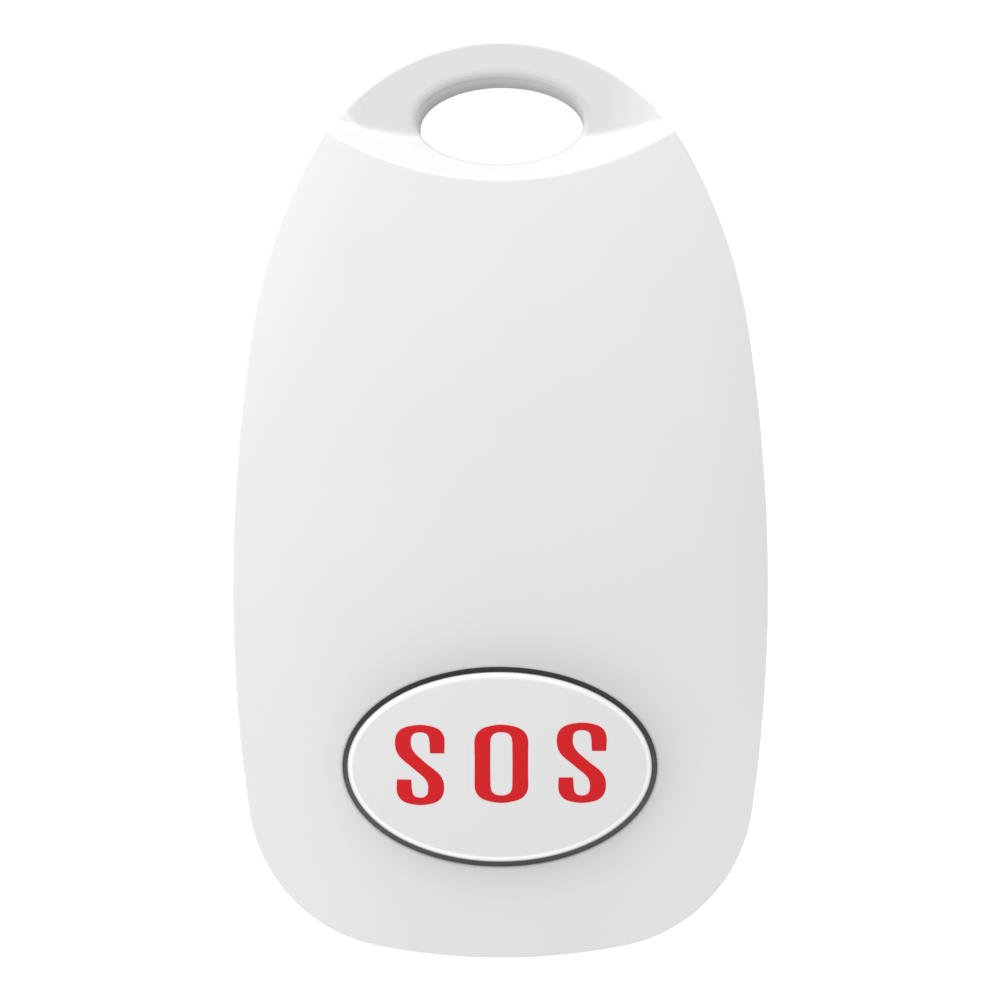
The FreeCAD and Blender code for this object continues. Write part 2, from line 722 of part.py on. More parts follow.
def build_front_cover():
    """Domed shell: the dome steps down to the flange round the eye, and the oval aperture and its
    seat hold the push cap. Inside are the screw bosses and the pins that press on the board."""
    chamber_body = build_front_chamber()
    body = new_body("front_cover")
    sketch = new_sketch(body, "front_outline", level="Levels.parting_height")
    outline(sketch)
    pad(body, sketch, "front_block", "Sizes.body_height")
    cut_crown(body, "crown", "0", "Sizes.body_width * 0.6", "Sizes.body_height * 1.5")
    sketch = new_sketch(body, "step_edge", level="Levels.flange_height")
    step_profile(sketch)
    step = pocket(
        body,
        sketch,
        "step",
        "Sizes.body_height",
        upwards=True,
        TaperAngle="Sizes.step_slope",
    )
    crease = rounded(
        body,
        step,
        "step_crease",
        lambda p: p.z > number("Levels.flange_height") + 0.3 and on_slope(p) and on_crown(p),
        "Sizes.step_crease_radius",
    )
    root = rounded(
        body,
        crease,
        "step_root",
        lambda p: near(p.z, number("Levels.flange_height")) and on_slope(p),
        "Sizes.step_root_radius",
    )
    rim = rounded(
        body,
        root,
        "front_edge",
        lambda p: p.z > number("Levels.flange_height") - 0.05 and near_wall(p),
        "Sizes.front_edge_radius",
    )
    seam = chamfered(
        body,
        rim,
        "front_seam",
        lambda p: near(p.z, number("Levels.parting_height")),
        "Sizes.seam_chamfer",
    )
    hollow = body.newObject("PartDesign::Boolean", "front_hollow")
    hollow.Type = "Cut"
    hollow.addObject(chamber_body)
    doc.recompute()
    sketch = spots_sketch(
        body, "pilot_circles", "Levels.parting_height", SCREW_SPOTS, "Sizes.pilot_radius"
    )
    pocket(body, sketch, "pilot_holes", "Levels.pilot_depth", upwards=True)
    aperture = "Levels.button_y", "Levels.aperture_half_width", "Sizes.aperture_half_height"
    sketch = new_sketch(body, "aperture_oval", level="Levels.parting_height")
    ellipse(sketch, *aperture)
    opening = pocket(body, sketch, "aperture", "Sizes.body_height", upwards=True)
    rounded(
        body,
        opening,
        "aperture_edge",
        lambda p: p.z > number("Levels.seat_height") + 0.1 and near_oval(p, *aperture),
        "Sizes.aperture_edge_radius",
    )
    sketch = new_sketch(body, "front_eye_oval", level="Levels.parting_height")
    ellipse(sketch, "Levels.eye_y", "Sizes.eye_half_width", "Sizes.eye_half_height")
    eye = pocket(body, sketch, "front_eye", "Sizes.body_height", upwards=True)
    rounded(
        body,
        eye,
        "front_eye_rim",
        lambda p: p.z > number("Levels.flange_height") - 0.05 and near_eye(p),
        "Sizes.eye_rim_radius",
    )
    return body


def on_crown(spot):
    """True on the domed front: a ring surface about an axis parallel to X."""
    along = math.hypot(spot.y - number("Levels.crown_y"), spot.z - number("Levels.crown_axis"))
    ring = number("Levels.crown_long_radius - Levels.crown_cross_radius")
    return near(math.hypot(along - ring, spot.x), number("Levels.crown_cross_radius"))


def on_slope(spot):
    """True on the slope between the flange and the dome: a cone that widens as it rises."""
    rise = spot.z - number("Levels.flange_height")
    spread = rise * math.tan(math.radians(number("Sizes.step_slope")))
    away = math.hypot(spot.x, spot.y - number("Levels.step_y + Sizes.step_radius"))
    return near(away, number("Sizes.step_radius") + spread)


def build_push_cap():
    """Oval cap whose face follows the dome a little higher. Its flange lies under the seal, and a
    short post inside it meets the switch."""
    body = new_body("push_cap")
    cap = "Levels.button_y", "Levels.cap_half_width", "Levels.cap_half_height"
    sketch = new_sketch(body, "cap_oval", level="Levels.cap_under")
    ellipse(sketch, *cap)
    pad(body, sketch, "cap_block", "Sizes.body_height")
    face = cut_crown(
        body, "cap_face", "Sizes.cap_rise", "Levels.aperture_half_width * 1.1", "Sizes.body_height"
    )
    rounded(
        body,
        face,
        "cap_edge",
        lambda p: p.z > number("Levels.seat_height") and near_oval(p, *cap),
        "Sizes.cap_edge_radius",
    )
    sketch = new_sketch(body, "cap_flange_oval", level="Levels.cap_under")
    ellipse(
        sketch,
        "Levels.button_y",
        "Levels.cap_half_width + Sizes.cap_flange_reach",
        "Levels.cap_half_height + Sizes.cap_flange_reach",
    )
    pad(body, sketch, "cap_flange", "Sizes.cap_flange_thickness")
    sketch = new_sketch(body, "cap_hollow_oval", level="Levels.cap_under")
    ellipse(
        sketch,
        "Levels.button_y",
        "Levels.cap_half_width - Sizes.cap_wall",
        "Levels.cap_half_height - Sizes.cap_wall",
    )
    pocket(
        body, sketch, "cap_hollow", "Levels.cap_hollow_top - Levels.cap_under", upwards=True
    )
    sketch = new_sketch(body, "cap_post_circle", level="Levels.post_under")
    circle(sketch, None, "Levels.button_y", "Sizes.cap_post_radius")
    pad(body, sketch, "cap_post", "Sizes.cap_post_height + Sizes.cap_wall / 2")
    return body


def build_button_seal():
    """Soft ring under the aperture, with a lip that rises into the gap round the cap."""
    body = new_body("button_seal")
    inner = (
        "Levels.button_y",
        "Levels.cap_half_width + Sizes.running_gap",
        "Levels.cap_half_height + Sizes.running_gap",
    )
    sketch = new_sketch(body, "seal_ovals", level="Levels.seal_under")
    ellipse(
        sketch,
        "Levels.button_y",
        "Levels.cap_half_width + Sizes.cap_flange_reach + Sizes.seal_reach",
        "Levels.cap_half_height + Sizes.cap_flange_reach + Sizes.seal_reach",
    )
    ellipse(sketch, *inner)
    pad(body, sketch, "seal_ring", "Sizes.seal_thickness")
    sketch = new_sketch(body, "seal_lip_ovals", level="Levels.seal_under")
    ellipse(
        sketch,
        "Levels.button_y",
        "Levels.aperture_half_width - Sizes.seal_slack",
        "Sizes.aperture_half_height - Sizes.seal_slack",
    )
    ellipse(sketch, *inner)
    pad(body, sketch, "seal_lip", "Sizes.seal_thickness + Sizes.seal_lip_height")
    return body


def build_housing_gasket():
    """Thin cord gasket that fills the rebate above the tongue."""
    body = new_body("housing_gasket")
    sketch = new_sketch(body, "gasket_outline", level="Levels.tongue_top")
    chamber(sketch, "Levels.rebate_inset + Sizes.tongue_slack")
    chamber(sketch, "Sizes.wall")
    pad(body, sketch, "gasket_ring", "Sizes.gasket_thickness")
    return body


def build_cover_screws():
    """Four self-tapping screws with cheese heads and cross recesses, driven from the rear."""
    body = new_body("cover_screws")
    sketch = spots_sketch(body, "head_outline", "Levels.head_seat", SCREW_SPOTS, "Sizes.head_radius")
    heads = pad(body, sketch, "heads", "Sizes.head_height")
    heads.Reversed = True
    sketch = spots_sketch(
        body, "shank_outline", "Levels.head_seat", SCREW_SPOTS, "Sizes.screw_radius"
    )
    shanks = pad(body, sketch, "shanks", "Levels.screw_length")
    tip = number("Levels.head_seat + Levels.screw_length")
    points = chamfered(body, shanks, "tips", lambda p: near(p.z, tip), "Sizes.screw_tip")
    face = number("Levels.head_seat - Sizes.head_height")
    chamfered(body, points, "head_edges", lambda p: near(p.z, face), "Sizes.head_edge")
    for name, width, height in (
        ("cross_bars", "Sizes.cross_length", "Sizes.cross_width"),
        ("cross_posts", "Sizes.cross_width", "Sizes.cross_length"),
    ):
        sketch = new_sketch(body, f"{name}_outline", level="Levels.head_seat - Sizes.head_height")
        for x, y in SCREW_SPOTS:
            rectangle(sketch, x, y, width, height)
        pocket(body, sketch, name, "Sizes.cross_depth", upwards=True)
    return body


def build_circuit_board():
    """Board that fills the chamber, notched round the screw bosses."""
    body = new_body("circuit_board")
    sketch = new_sketch(body, "board_outline", level="Levels.board_under")
    chamber(sketch, "Sizes.wall + Sizes.board_gap")
    pad(body, sketch, "board", "Sizes.board_thickness")
    notch = "Sizes.boss_radius + Sizes.notch_gap"
    sketch = spots_sketch(body, "notch_circles", "Levels.board_under", SCREW_SPOTS, notch)
    pocket(body, sketch, "notch_rounds", "Sizes.board_thickness", upwards=True)
    sketch = new_sketch(body, "notch_mouths_outline", level="Levels.board_under")
    for side in ("-1", "1"):
        for row in ("lower", "upper"):
            screw_x = f"Levels.{row}_screw_x"
            rectangle(
                sketch,
                f"{side} * ({screw_x} + Levels.half_width) / 2",
                f"Levels.{row}_screw_y",
                f"Levels.half_width - {screw_x}",
                f"2 * ({notch})",
            )
    pocket(body, sketch, "notch_mouths", "Sizes.board_thickness", upwards=True)
    return body


def build_switch_base():
    """Square moulded base of the tactile switch, with a round well for the dome."""
    body = new_body("switch_base")
    sketch = new_sketch(body, "base_square", level="Levels.board_top")
    rectangle(sketch, "0", "Levels.button_y", "Sizes.switch_size", "Sizes.switch_size")
    block = pad(body, sketch, "base_block", "Sizes.switch_height")
    half = number("Sizes.switch_size / 2")
    middle = number("Levels.button_y")
    chamfered(
        body,
        block,
        "base_corners",
        lambda p: near(abs(p.x), half) and near(abs(p.y - middle), half),
        "Sizes.switch_corner",
    )
    sketch = new_sketch(body, "well_circle", level="Levels.well_level")
    circle(sketch, None, "Levels.button_y", "Sizes.well_radius")
    pocket(body, sketch, "well", "Sizes.switch_height", upwards=True)
    return body


def build_switch_frame():
    """Stamped cover plate over the well, with two tabs folded down the sides of the base."""
    body = new_body("switch_frame")
    sketch = new_sketch(body, "plate_square", level="Levels.switch_top")
    width = "Sizes.switch_size - 2 * Sizes.switch_corner"
    rectangle(sketch, "0", "Levels.button_y", width, "Sizes.switch_size")
    pad(body, sketch, "plate", "Sizes.frame_thickness")
    sketch = new_sketch(body, "tab_outline", level="Levels.frame_top")
    for side in ("-1", "1"):
        rectangle(
            sketch,
            "0",
            f"Levels.button_y + {side} * (Sizes.switch_size + Sizes.frame_thickness) / 2",
            "Sizes.frame_tab_width",
            "Sizes.frame_thickness",
        )
    tabs = pad(body, sketch, "tabs", "Sizes.frame_tab_length")
    tabs.Reversed = True
    sketch = new_sketch(body, "frame_circle", level="Levels.switch_top")
    circle(sketch, None, "Levels.button_y", "Sizes.frame_hole_radius")
    pocket(body, sketch, "frame_hole", "Sizes.frame_thickness", upwards=True)
    return body


def side_sketch(body, name, y, rise=None):
    """A sketch seen from the end of the object: its plane crosses the object at y."""
    return new_sketch(body, name, "XZ_Plane", level=f"0 - ({y})", rise=rise)


def build_switch_dome():
    """Thin snap disc, the part of a sphere, that lies in the well with its rim down."""
    body = new_body("switch_dome")
    sketch = side_sketch(body, "dome_profile", "Levels.button_y", "Levels.well_level")
    sphere = "(Sizes.dome_radius ^ 2 + Sizes.dome_height ^ 2) / (2 * Sizes.dome_height)"
    radii = [sphere, f"{sphere} - Sizes.dome_thickness"]
    drop = number(f"{sphere} - Sizes.dome_height")
    arcs = []
    feet = []
    for radius in radii:
        turn = math.asin(drop / number(radius))
        curve = Part.Circle(Vector(0, -drop), Vector(0, 0, 1), number(radius))
        arcs.append(sketch.addGeometry(Part.ArcOfCircle(curve, turn, math.pi / 2)))
        feet.append(Vector(number(radius) * math.cos(turn), 0))
    tops = [Vector(0, number(radius) - drop) for radius in radii]
    foot, axis = sketch.addGeometry([Part.LineSegment(*feet), Part.LineSegment(*tops)])
    outer, inner = arcs
    for one, end, two, start in (
        (foot, 1, outer, 1),
        (foot, 2, inner, 1),
        (axis, 1, outer, 2),
        (axis, 2, inner, 2),
    ):
        sketch.addConstraint(Sketcher.Constraint("Coincident", one, end, two, start))
    sketch.addConstraint(Sketcher.Constraint("Coincident", outer, 3, inner, 3))
    for item, point in ((foot, 1), (foot, 2)):
        sketch.addConstraint(Sketcher.Constraint("PointOnObject", item, point, -1))
    for item, point in ((axis, 1), (axis, 2), (outer, 3)):
        sketch.addConstraint(Sketcher.Constraint("PointOnObject", item, point, -2))
    dimension(sketch, "DistanceY", outer, 3, -1, 1, size=f"{sphere} - Sizes.dome_height")
    for arc, radius in zip(arcs, radii):
        dimension(sketch, "Radius", arc, size=radius)
    turned(body, "Revolution", "dome", sketch, "V_Axis")
    return body


def build_switch_plunger():
    """Round plunger: its collar is caught under the frame and its stem stands out of it."""
    body = new_body("switch_plunger")
    low = "Levels.well_level + Sizes.dome_height + Sizes.touch_gap"
    collar, stem = "Sizes.plunger_collar_radius", "Sizes.plunger_radius"
    sketch = side_sketch(body, "plunger_profile", "Levels.button_y")
    polygon(
        sketch,
        [
            ("0", low),
            (collar, low),
            (collar, f"{low} + Sizes.plunger_collar"),
            (stem, f"{low} + Sizes.plunger_collar"),
            (stem, "Levels.plunger_top - Sizes.plunger_edge"),
            (f"{stem} - Sizes.plunger_edge", "Levels.plunger_top"),
            ("0", "Levels.plunger_top"),
        ],
    )
    turned(body, "Revolution", "plunger", sketch, "V_Axis")
    return body


def build_switch_terminals():
    """Four folded pins: two on each side of the switch base."""
    body = new_body("switch_terminals")
    near_x = "Sizes.switch_size / 2"
    low, thick = "Levels.board_top", "Sizes.terminal_thickness"
    for row in ("-1", "1"):
        y = f"Levels.button_y + {row} * Sizes.terminal_spread + Sizes.terminal_width / 2"
        sketch = side_sketch(body, "terminal_profile", y)
        for side in ("-1", "1"):
            corners = [
                (near_x, low),
                (f"{near_x} + Sizes.terminal_foot", low),
                (f"{near_x} + Sizes.terminal_foot", f"{low} + {thick}"),
                (f"{near_x} + {thick}", f"{low} + {thick}"),
                (f"{near_x} + {thick}", f"{low} + Sizes.terminal_rise"),
                (near_x, f"{low} + Sizes.terminal_rise"),
            ]
            polygon(sketch, [(f"{side} * ({x})", z) for x, z in corners])
        pad(body, sketch, "terminals", "Sizes.terminal_width")
    return body


def build_coin_cell():
    """Lithium coin cell: the wide can faces the rear and the stepped cap faces the board."""
    body = new_body("coin_cell")
    sketch = side_sketch(body, "cell_profile", "Levels.cell_y")
    can, cap = "Sizes.cell_radius", "Sizes.cell_cap_radius"
    low, high = "Levels.cell_under", "Levels.cell_top"
    polygon(
        sketch,
        [
            ("0", low),
            (can, low),
            (can, f"{high} - Sizes.cell_cap_step"),
            (cap, f"{high} - Sizes.cell_cap_step"),
            (cap, high),
            ("0", high),
        ],
    )
    cell = turned(body, "Revolution", "cell", sketch, "V_Axis")
    radius, middle = number(can), number("Levels.cell_y")
    rounded(
        body,
        cell,
        "can_edges",
        lambda p: near(math.hypot(p.x, p.y - middle), radius),
        "Sizes.cell_edge_radius",
    )
    return body


def build_battery_holder():
    """Ring under the board that centres the cell, open at one side for a finger nail."""
    body = new_body("battery_holder")
    sketch = new_sketch(body, "holder_circles", level="Levels.cell_under")
    circle(sketch, None, "Levels.cell_y", "Levels.holder_radius")
    circle(sketch, None, "Levels.cell_y", "Levels.holder_bore")
    height = "Levels.board_under - Levels.cell_under"
    pad(body, sketch, "holder_ring", height)
    sketch = new_sketch(body, "finger_outline", level="Levels.cell_under")
    rectangle(
        sketch,
        "0",
        "Levels.cell_y - Levels.holder_radius",
        "Sizes.finger_notch",
        "Levels.holder_radius",
    )
    pocket(body, sketch, "finger_cut", height, upwards=True)
    return body


def build_battery_clip():
    """Sprung strap under the cell: it carries the can and rises on both sides to the board."""
    body = new_body("battery_clip")
    thick = "Sizes.clip_thickness"
    inside = "(Levels.holder_radius + Sizes.touch_gap)"
    outside = f"({inside} + {thick})"
    toe = f"({outside} + Sizes.clip_foot)"
    low, high = "Levels.clip_under", "Levels.board_under"
    half = [
        (outside, low),
        (outside, f"{high} - {thick}"),
        (toe, f"{high} - {thick}"),
        (toe, high),
        (inside, high),
        (inside, f"{low} + {thick}"),
    ]
    sketch = side_sketch(body, "clip_profile", "Levels.cell_y + Sizes.clip_width / 2")
    polygon(sketch, half + [(f"-1 * {x}", z) for x, z in reversed(half)])
    pad(body, sketch, "clip", "Sizes.clip_width")
    return body


def build_battery_spring():
    """Leaf contact soldered under the board, bent down on to the cell's cap."""
    body = new_body("battery_spring")
    reach, thick = "Sizes.spring_half_length", "Sizes.spring_thickness"
    low, high = "Levels.cell_top", "Levels.board_under"
    lower = [
        (f"-1 * {reach}", f"{high} - {thick}"),
        (f"-1 * {reach} / 2", f"{high} - {thick}"),
        ("0", low),
        (f"{reach} * 0.6", low),
        (reach, f"{low} + 2 * {thick}"),
    ]
    upper = [(x, f"{z} + {thick}") for x, z in reversed(lower)]
    sketch = side_sketch(body, "spring_profile", "Levels.cell_y + Sizes.spring_width / 2")
    polygon(sketch, lower + upper)
    pad(body, sketch, "spring", "Sizes.spring_width")
    return body


def build_antenna():
    """Stamped bow that stands on two legs across the board, near the eye."""
    body = new_body("antenna_strip")
    reach, thick = "Sizes.antenna_half_length", "Sizes.antenna_thickness"
    low, high = "Levels.board_top", "Levels.board_top + Sizes.antenna_rise"
    half = [
        (f"{reach} - {thick}", f"{high} - {thick}"),
        (f"{reach} - {thick}", low),
        (reach, low),
        (reach, high),
    ]
    y = "Levels.eye_low - Sizes.antenna_margin + Sizes.antenna_width / 2"
    sketch = side_sketch(body, "antenna_profile", y)
    polygon(sketch, half + [(f"-1 * ({x})", z) for x, z in reversed(half)])
    pad(body, sketch, "antenna", "Sizes.antenna_width")
    return body


def block_on_board(label, x, y, width, length, height, lift="0"):
    """A body with one rectangular block on the front of the board."""
    body = new_body(label)
    sketch = new_sketch(body, f"{label}_outline", level=f"Levels.board_top + {lift}")
    rectangle(sketch, x, y, width, length)
    return body, pad(body, sketch, f"{label}_block", height)


CHIP_Y = "Levels.cell_y + Sizes.chip_lead"


def build_radio_chip():
    """Flat square radio chip, with the dimple that marks its first pin."""
    size = "Sizes.radio_size"
    x = "-1 * Sizes.chip_spread"
    body, block = block_on_board("radio_chip", x, CHIP_Y, size, size, "Sizes.radio_height")
    top = number("Levels.board_top + Sizes.radio_height")
    chamfered(body, block, "radio_edges", lambda p: near(p.z, top), "Sizes.radio_edge")
    sketch = new_sketch(body, "radio_mark_circle", level="Levels.board_top + Sizes.radio_height")
    corner = "0.3 * Sizes.radio_size"
    circle(sketch, f"{x} - {corner}", f"{CHIP_Y} + {corner}", "2 * Sizes.radio_edge")
    pocket(body, sketch, "radio_mark", "Sizes.radio_edge / 2")
    return body


def build_control_chip():
    """Controller in a package with leads on both sides."""
    body, block = block_on_board(
        "control_chip",
        "Sizes.chip_spread",
        CHIP_Y,
        "Sizes.control_width",
        "Sizes.control_length",
        "Sizes.control_height",
        "Sizes.control_lift",
    )
    top = number("Levels.board_top + Sizes.control_lift + Sizes.control_height")
    chamfered(body, block, "control_edges", lambda p: near(p.z, top), "Sizes.radio_edge")
    return body


def build_control_leads():
    """Eight gull wing leads of the controller."""
    body = new_body("control_leads")
    low, thick = "Levels.board_top", "Sizes.lead_thickness"
    near_x = "Sizes.control_width / 2"
    knee = f"{near_x} + Sizes.lead_reach / 2"
    far_x = f"{near_x} + Sizes.lead_reach"
    wing = [
        (near_x, f"{low} + Sizes.lead_rise"),
        (f"{knee} - {thick}", f"{low} + Sizes.lead_rise"),
        (f"{knee} - {thick}", low),
        (far_x, low),
        (far_x, f"{low} + {thick}"),
        (knee, f"{low} + {thick}"),
        (knee, f"{low} + Sizes.lead_rise + {thick}"),
        (near_x, f"{low} + Sizes.lead_rise + {thick}"),
    ]
    for place in (-1.5, -0.5, 0.5, 1.5):
        y = f"{CHIP_Y} + {place} * Sizes.lead_pitch + Sizes.lead_width / 2"
        sketch = side_sketch(body, "lead_profile", y)
        for side in ("-1", "1"):
            polygon(sketch, [(f"Sizes.chip_spread + {side} * ({x})", z) for x, z in wing])
        pad(body, sketch, "leads", "Sizes.lead_width")
    return body


def build_crystal():
    """Metal can of the clock crystal, with rounded upright edges."""
    body, block = block_on_board(
        "crystal_can",
        "-1 * Sizes.chip_spread",
        f"{CHIP_Y} - Sizes.crystal_drop",
        "Sizes.crystal_length",
        "Sizes.crystal_width",
        "Sizes.crystal_height",
    )
    half_x, half_y = number("Sizes.crystal_length / 2"), number("Sizes.crystal_width / 2")
    x, y = number("Sizes.chip_spread"), number(f"{CHIP_Y} - Sizes.crystal_drop")
    rounded(
        body,
        block,
        "crystal_corners",
        lambda p: near(abs(p.x + x), half_x) and near(abs(p.y - y), half_y),
        "2 * Sizes.radio_edge",
    )
    return body


def build_small_parts(label, count, y, height):
    """A row of small ceramic blocks across the board."""
    body = new_body(label)
    sketch = new_sketch(body, f"{label}_outline", level="Levels.board_top")
    for index in range(count):
        x = f"{index - (count - 1) / 2} * Sizes.small_pitch"
        rectangle(sketch, x, y, "Sizes.small_width", "Sizes.small_length")
    pad(body, sketch, f"{label}_blocks", height)
    return body


pieces = [
    build_rear_cover(),
    build_front_cover(),
    build_push_cap(),
    build_button_seal(),
    build_housing_gasket(),
    build_cover_screws(),
    build_circuit_board(),
    build_switch_base(),
    build_switch_frame(),
    build_switch_dome(),
    build_switch_plunger(),
    build_switch_terminals(),
    build_coin_cell(),
    build_battery_holder(),
    build_battery_clip(),
    build_battery_spring(),
    build_antenna(),
    build_radio_chip(),
    build_control_chip(),
    build_control_leads(),
    build_crystal(),
    build_small_parts(
        "chip_capacitors", 6, "Levels.cell_y + Sizes.capacitor_row", "Sizes.capacitor_height"
    ),
    build_small_parts(
        "chip_resistors", 5, "Levels.cell_y - Sizes.resistor_row", "Sizes.resistor_height"
    ),
]
doc.recompute()

for item in doc.Objects:
    if "Invalid" in item.State or "Error" in item.State:
        raise RuntimeError(f"{item.Label} failed: {item.State}")
for body in pieces:
    if body.Shape.isNull() or not body.Shape.isValid():
        raise RuntimeError(f"{body.Label} has no valid shape")
    box = body.Shape.optimalBoundingBox(False)
    print(
        f"{body.Label}: {len(body.Shape.Solids)} solid(s), {body.Shape.Volume:.1f} mm3,"
        f" z {box.ZMin:.2f} to {box.ZMax:.2f}"
    )

os.makedirs("parts", exist_ok=True)
for body in pieces:
    body.Shape.exportStep(f"parts/{body.Label}.step")
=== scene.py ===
# %% [markdown]
# # Dressing a wireless panic button
#
# The part comes packed from its construction file as a fixed frame: two moulded covers, an oval
# push cap over a soft seal, and a circuit board, switch and coin cell inside. This notebook adds
# the camera, a finish for every piece, the printed letters on the cap, a switch dome of sheet steel
# and the studio round them. Everything is in metres and in the frame's own axes: X across, Y towards
# the lanyard eye, Z out of the front face. The button lies on its back.

# %% Load the frame
import math
import bpy
import numpy as np
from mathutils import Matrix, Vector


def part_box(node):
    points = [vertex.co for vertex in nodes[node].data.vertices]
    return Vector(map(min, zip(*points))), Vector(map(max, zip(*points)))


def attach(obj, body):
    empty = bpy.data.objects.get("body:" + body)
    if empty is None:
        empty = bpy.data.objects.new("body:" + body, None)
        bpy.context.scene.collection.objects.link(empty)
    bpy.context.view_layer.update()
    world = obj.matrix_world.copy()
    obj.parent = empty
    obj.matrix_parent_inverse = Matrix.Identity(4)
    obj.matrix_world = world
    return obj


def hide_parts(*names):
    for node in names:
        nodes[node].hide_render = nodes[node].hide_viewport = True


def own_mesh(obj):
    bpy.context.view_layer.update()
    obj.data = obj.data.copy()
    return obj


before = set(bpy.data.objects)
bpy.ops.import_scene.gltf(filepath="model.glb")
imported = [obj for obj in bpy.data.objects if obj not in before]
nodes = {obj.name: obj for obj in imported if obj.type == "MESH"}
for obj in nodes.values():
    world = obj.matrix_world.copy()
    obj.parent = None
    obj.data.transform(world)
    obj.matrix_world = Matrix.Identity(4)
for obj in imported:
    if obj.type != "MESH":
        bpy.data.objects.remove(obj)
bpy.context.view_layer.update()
MM = 0.001

# %% [markdown]
# ## The camera
#
# The picture was taken from above the lying button. A little of the eye's far wall shows and none of
# its near wall, so the lens is close: about 300 mm over the joint between the covers. More of the
# eye's left wall shows than of its right one, so the lens stands a little to the right and leans
# back. Its focal length then follows from the scale of the picture, measured on the outline.

# %% Aim the camera
PICTURE = 1000
PIXELS_PER_METRE = 15.11 / MM
PICTURE_MIDDLE = -0.08 * MM
VIEW_DISTANCE = 300 * MM
OUTLINE_HEIGHT = 4.6 * MM
STANDS_RIGHT = 5.0 * MM
CROWN_RIM = 8.7 * MM
SENSOR = 36.0

lens = bpy.data.cameras.new("lens")
lens.sensor_width = SENSOR
lens.lens = SENSOR * VIEW_DISTANCE * PIXELS_PER_METRE / PICTURE
lens.clip_start = 10 * MM
camera = bpy.data.objects.new("camera", lens)
camera.location = (STANDS_RIGHT, PICTURE_MIDDLE, OUTLINE_HEIGHT + VIEW_DISTANCE)
camera.rotation_euler.y = math.atan2(STANDS_RIGHT, camera.location.z - CROWN_RIM)
bpy.context.scene.collection.objects.link(camera)
bpy.context.scene.camera = camera
print("lens in mm:", round(lens.lens, 1))

# %% [markdown]
# ## Arithmetic on shader sockets
#
# A material is a graph of nodes, and long graphs are hard to read as code. Wrapping a socket in a
# small class with Python's operators lets a formula be written as a formula: `1 - grain * 0.2`
# adds its own Math nodes. Each operator has a reflected form, for a plain number on its left.


# %% A socket that does arithmetic
class Wire:
    """One output socket of a node tree."""

    def __init__(self, graph, socket):
        self.graph = graph
        self.socket = socket

    def work(self, operation, *others):
        """A Math node with this wire in its first socket."""
        return self.graph.work(operation, self, *others)

    def __add__(self, other):
        return self.work("ADD", other)

    def __radd__(self, other):
        return self.graph.work("ADD", other, self)

    def __sub__(self, other):
        return self.work("SUBTRACT", other)

    def __rsub__(self, other):
        return self.graph.work("SUBTRACT", other, self)

    def __mul__(self, other):
        return self.work("MULTIPLY", other)

    def __rmul__(self, other):
        return self.graph.work("MULTIPLY", other, self)

    def __truediv__(self, other):
        return self.work("DIVIDE", other)

    def __rtruediv__(self, other):
        return self.graph.work("DIVIDE", other, self)

    def __pow__(self, other):
        return self.work("POWER", other)

    def __rpow__(self, other):
        return self.graph.work("POWER", other, self)

    def __abs__(self):
        return self.work("ABSOLUTE")

    def above(self, edge, softness):
        """0 below edge, 1 above it, with a ramp as wide as softness between."""
        ramp = (self - edge) / softness
        return ramp.work("MAXIMUM", 0.0).work("MINIMUM", 1.0)


# %% [markdown]
# A graph is a node tree that takes such wires. Any node comes from `add`: its settings, such as a
# Math node's operation, are made first, and then its sockets get values or links.


# %% A node tree that is easy to write
class Graph:
    """A node tree of a material or of the world."""

    def __init__(self, tree):
        self.tree = tree

    def feed(self, socket, value):
        """Link a wire to a socket, or set a plain value on it."""
        if isinstance(value, Wire):
            self.tree.links.new(value.socket, socket)
        else:
            socket.default_value = value

    def add(self, kind, settings=None, inputs=None, output=0):
        """Any node, as the wire that leaves one of its outputs."""
        node = self.tree.nodes.new(f"ShaderNode{kind}")
        for name, value in (settings or {}).items():
            setattr(node, name, value)
        for name, value in (inputs or {}).items():
            self.feed(node.inputs[name], value)
        return Wire(self, node.outputs[output])

    def work(self, operation, *values):
        """A Math node with these values or wires in its sockets."""
        return self.add("Math", {"operation": operation}, dict(enumerate(values)))

    def parts(self, vector):
        """The X, Y and Z of a vector, each as a wire."""
        outputs = self.add("SeparateXYZ", inputs={0: vector}).socket.node.outputs
        return [Wire(self, outputs[axis]) for axis in "XYZ"]

    def seen(self):
        """1 for a ray that comes from the camera, a mirror or glass, 0 for light on its way."""
        outputs = self.add("LightPath").socket.node.outputs
        names = ("Is Camera Ray", "Is Glossy Ray", "Is Transmission Ray")
        camera_ray, glossy_ray, clear_ray = [Wire(self, outputs[name]) for name in names]
        return camera_ray.work("MAXIMUM", glossy_ray).work("MAXIMUM", clear_ray)


# %% [markdown]
# A finish is the graph of one material: its Principled shader, with constants set on the shader's
# own sockets and worked-out values linked into Base Color, Roughness, Emission Color and Normal.


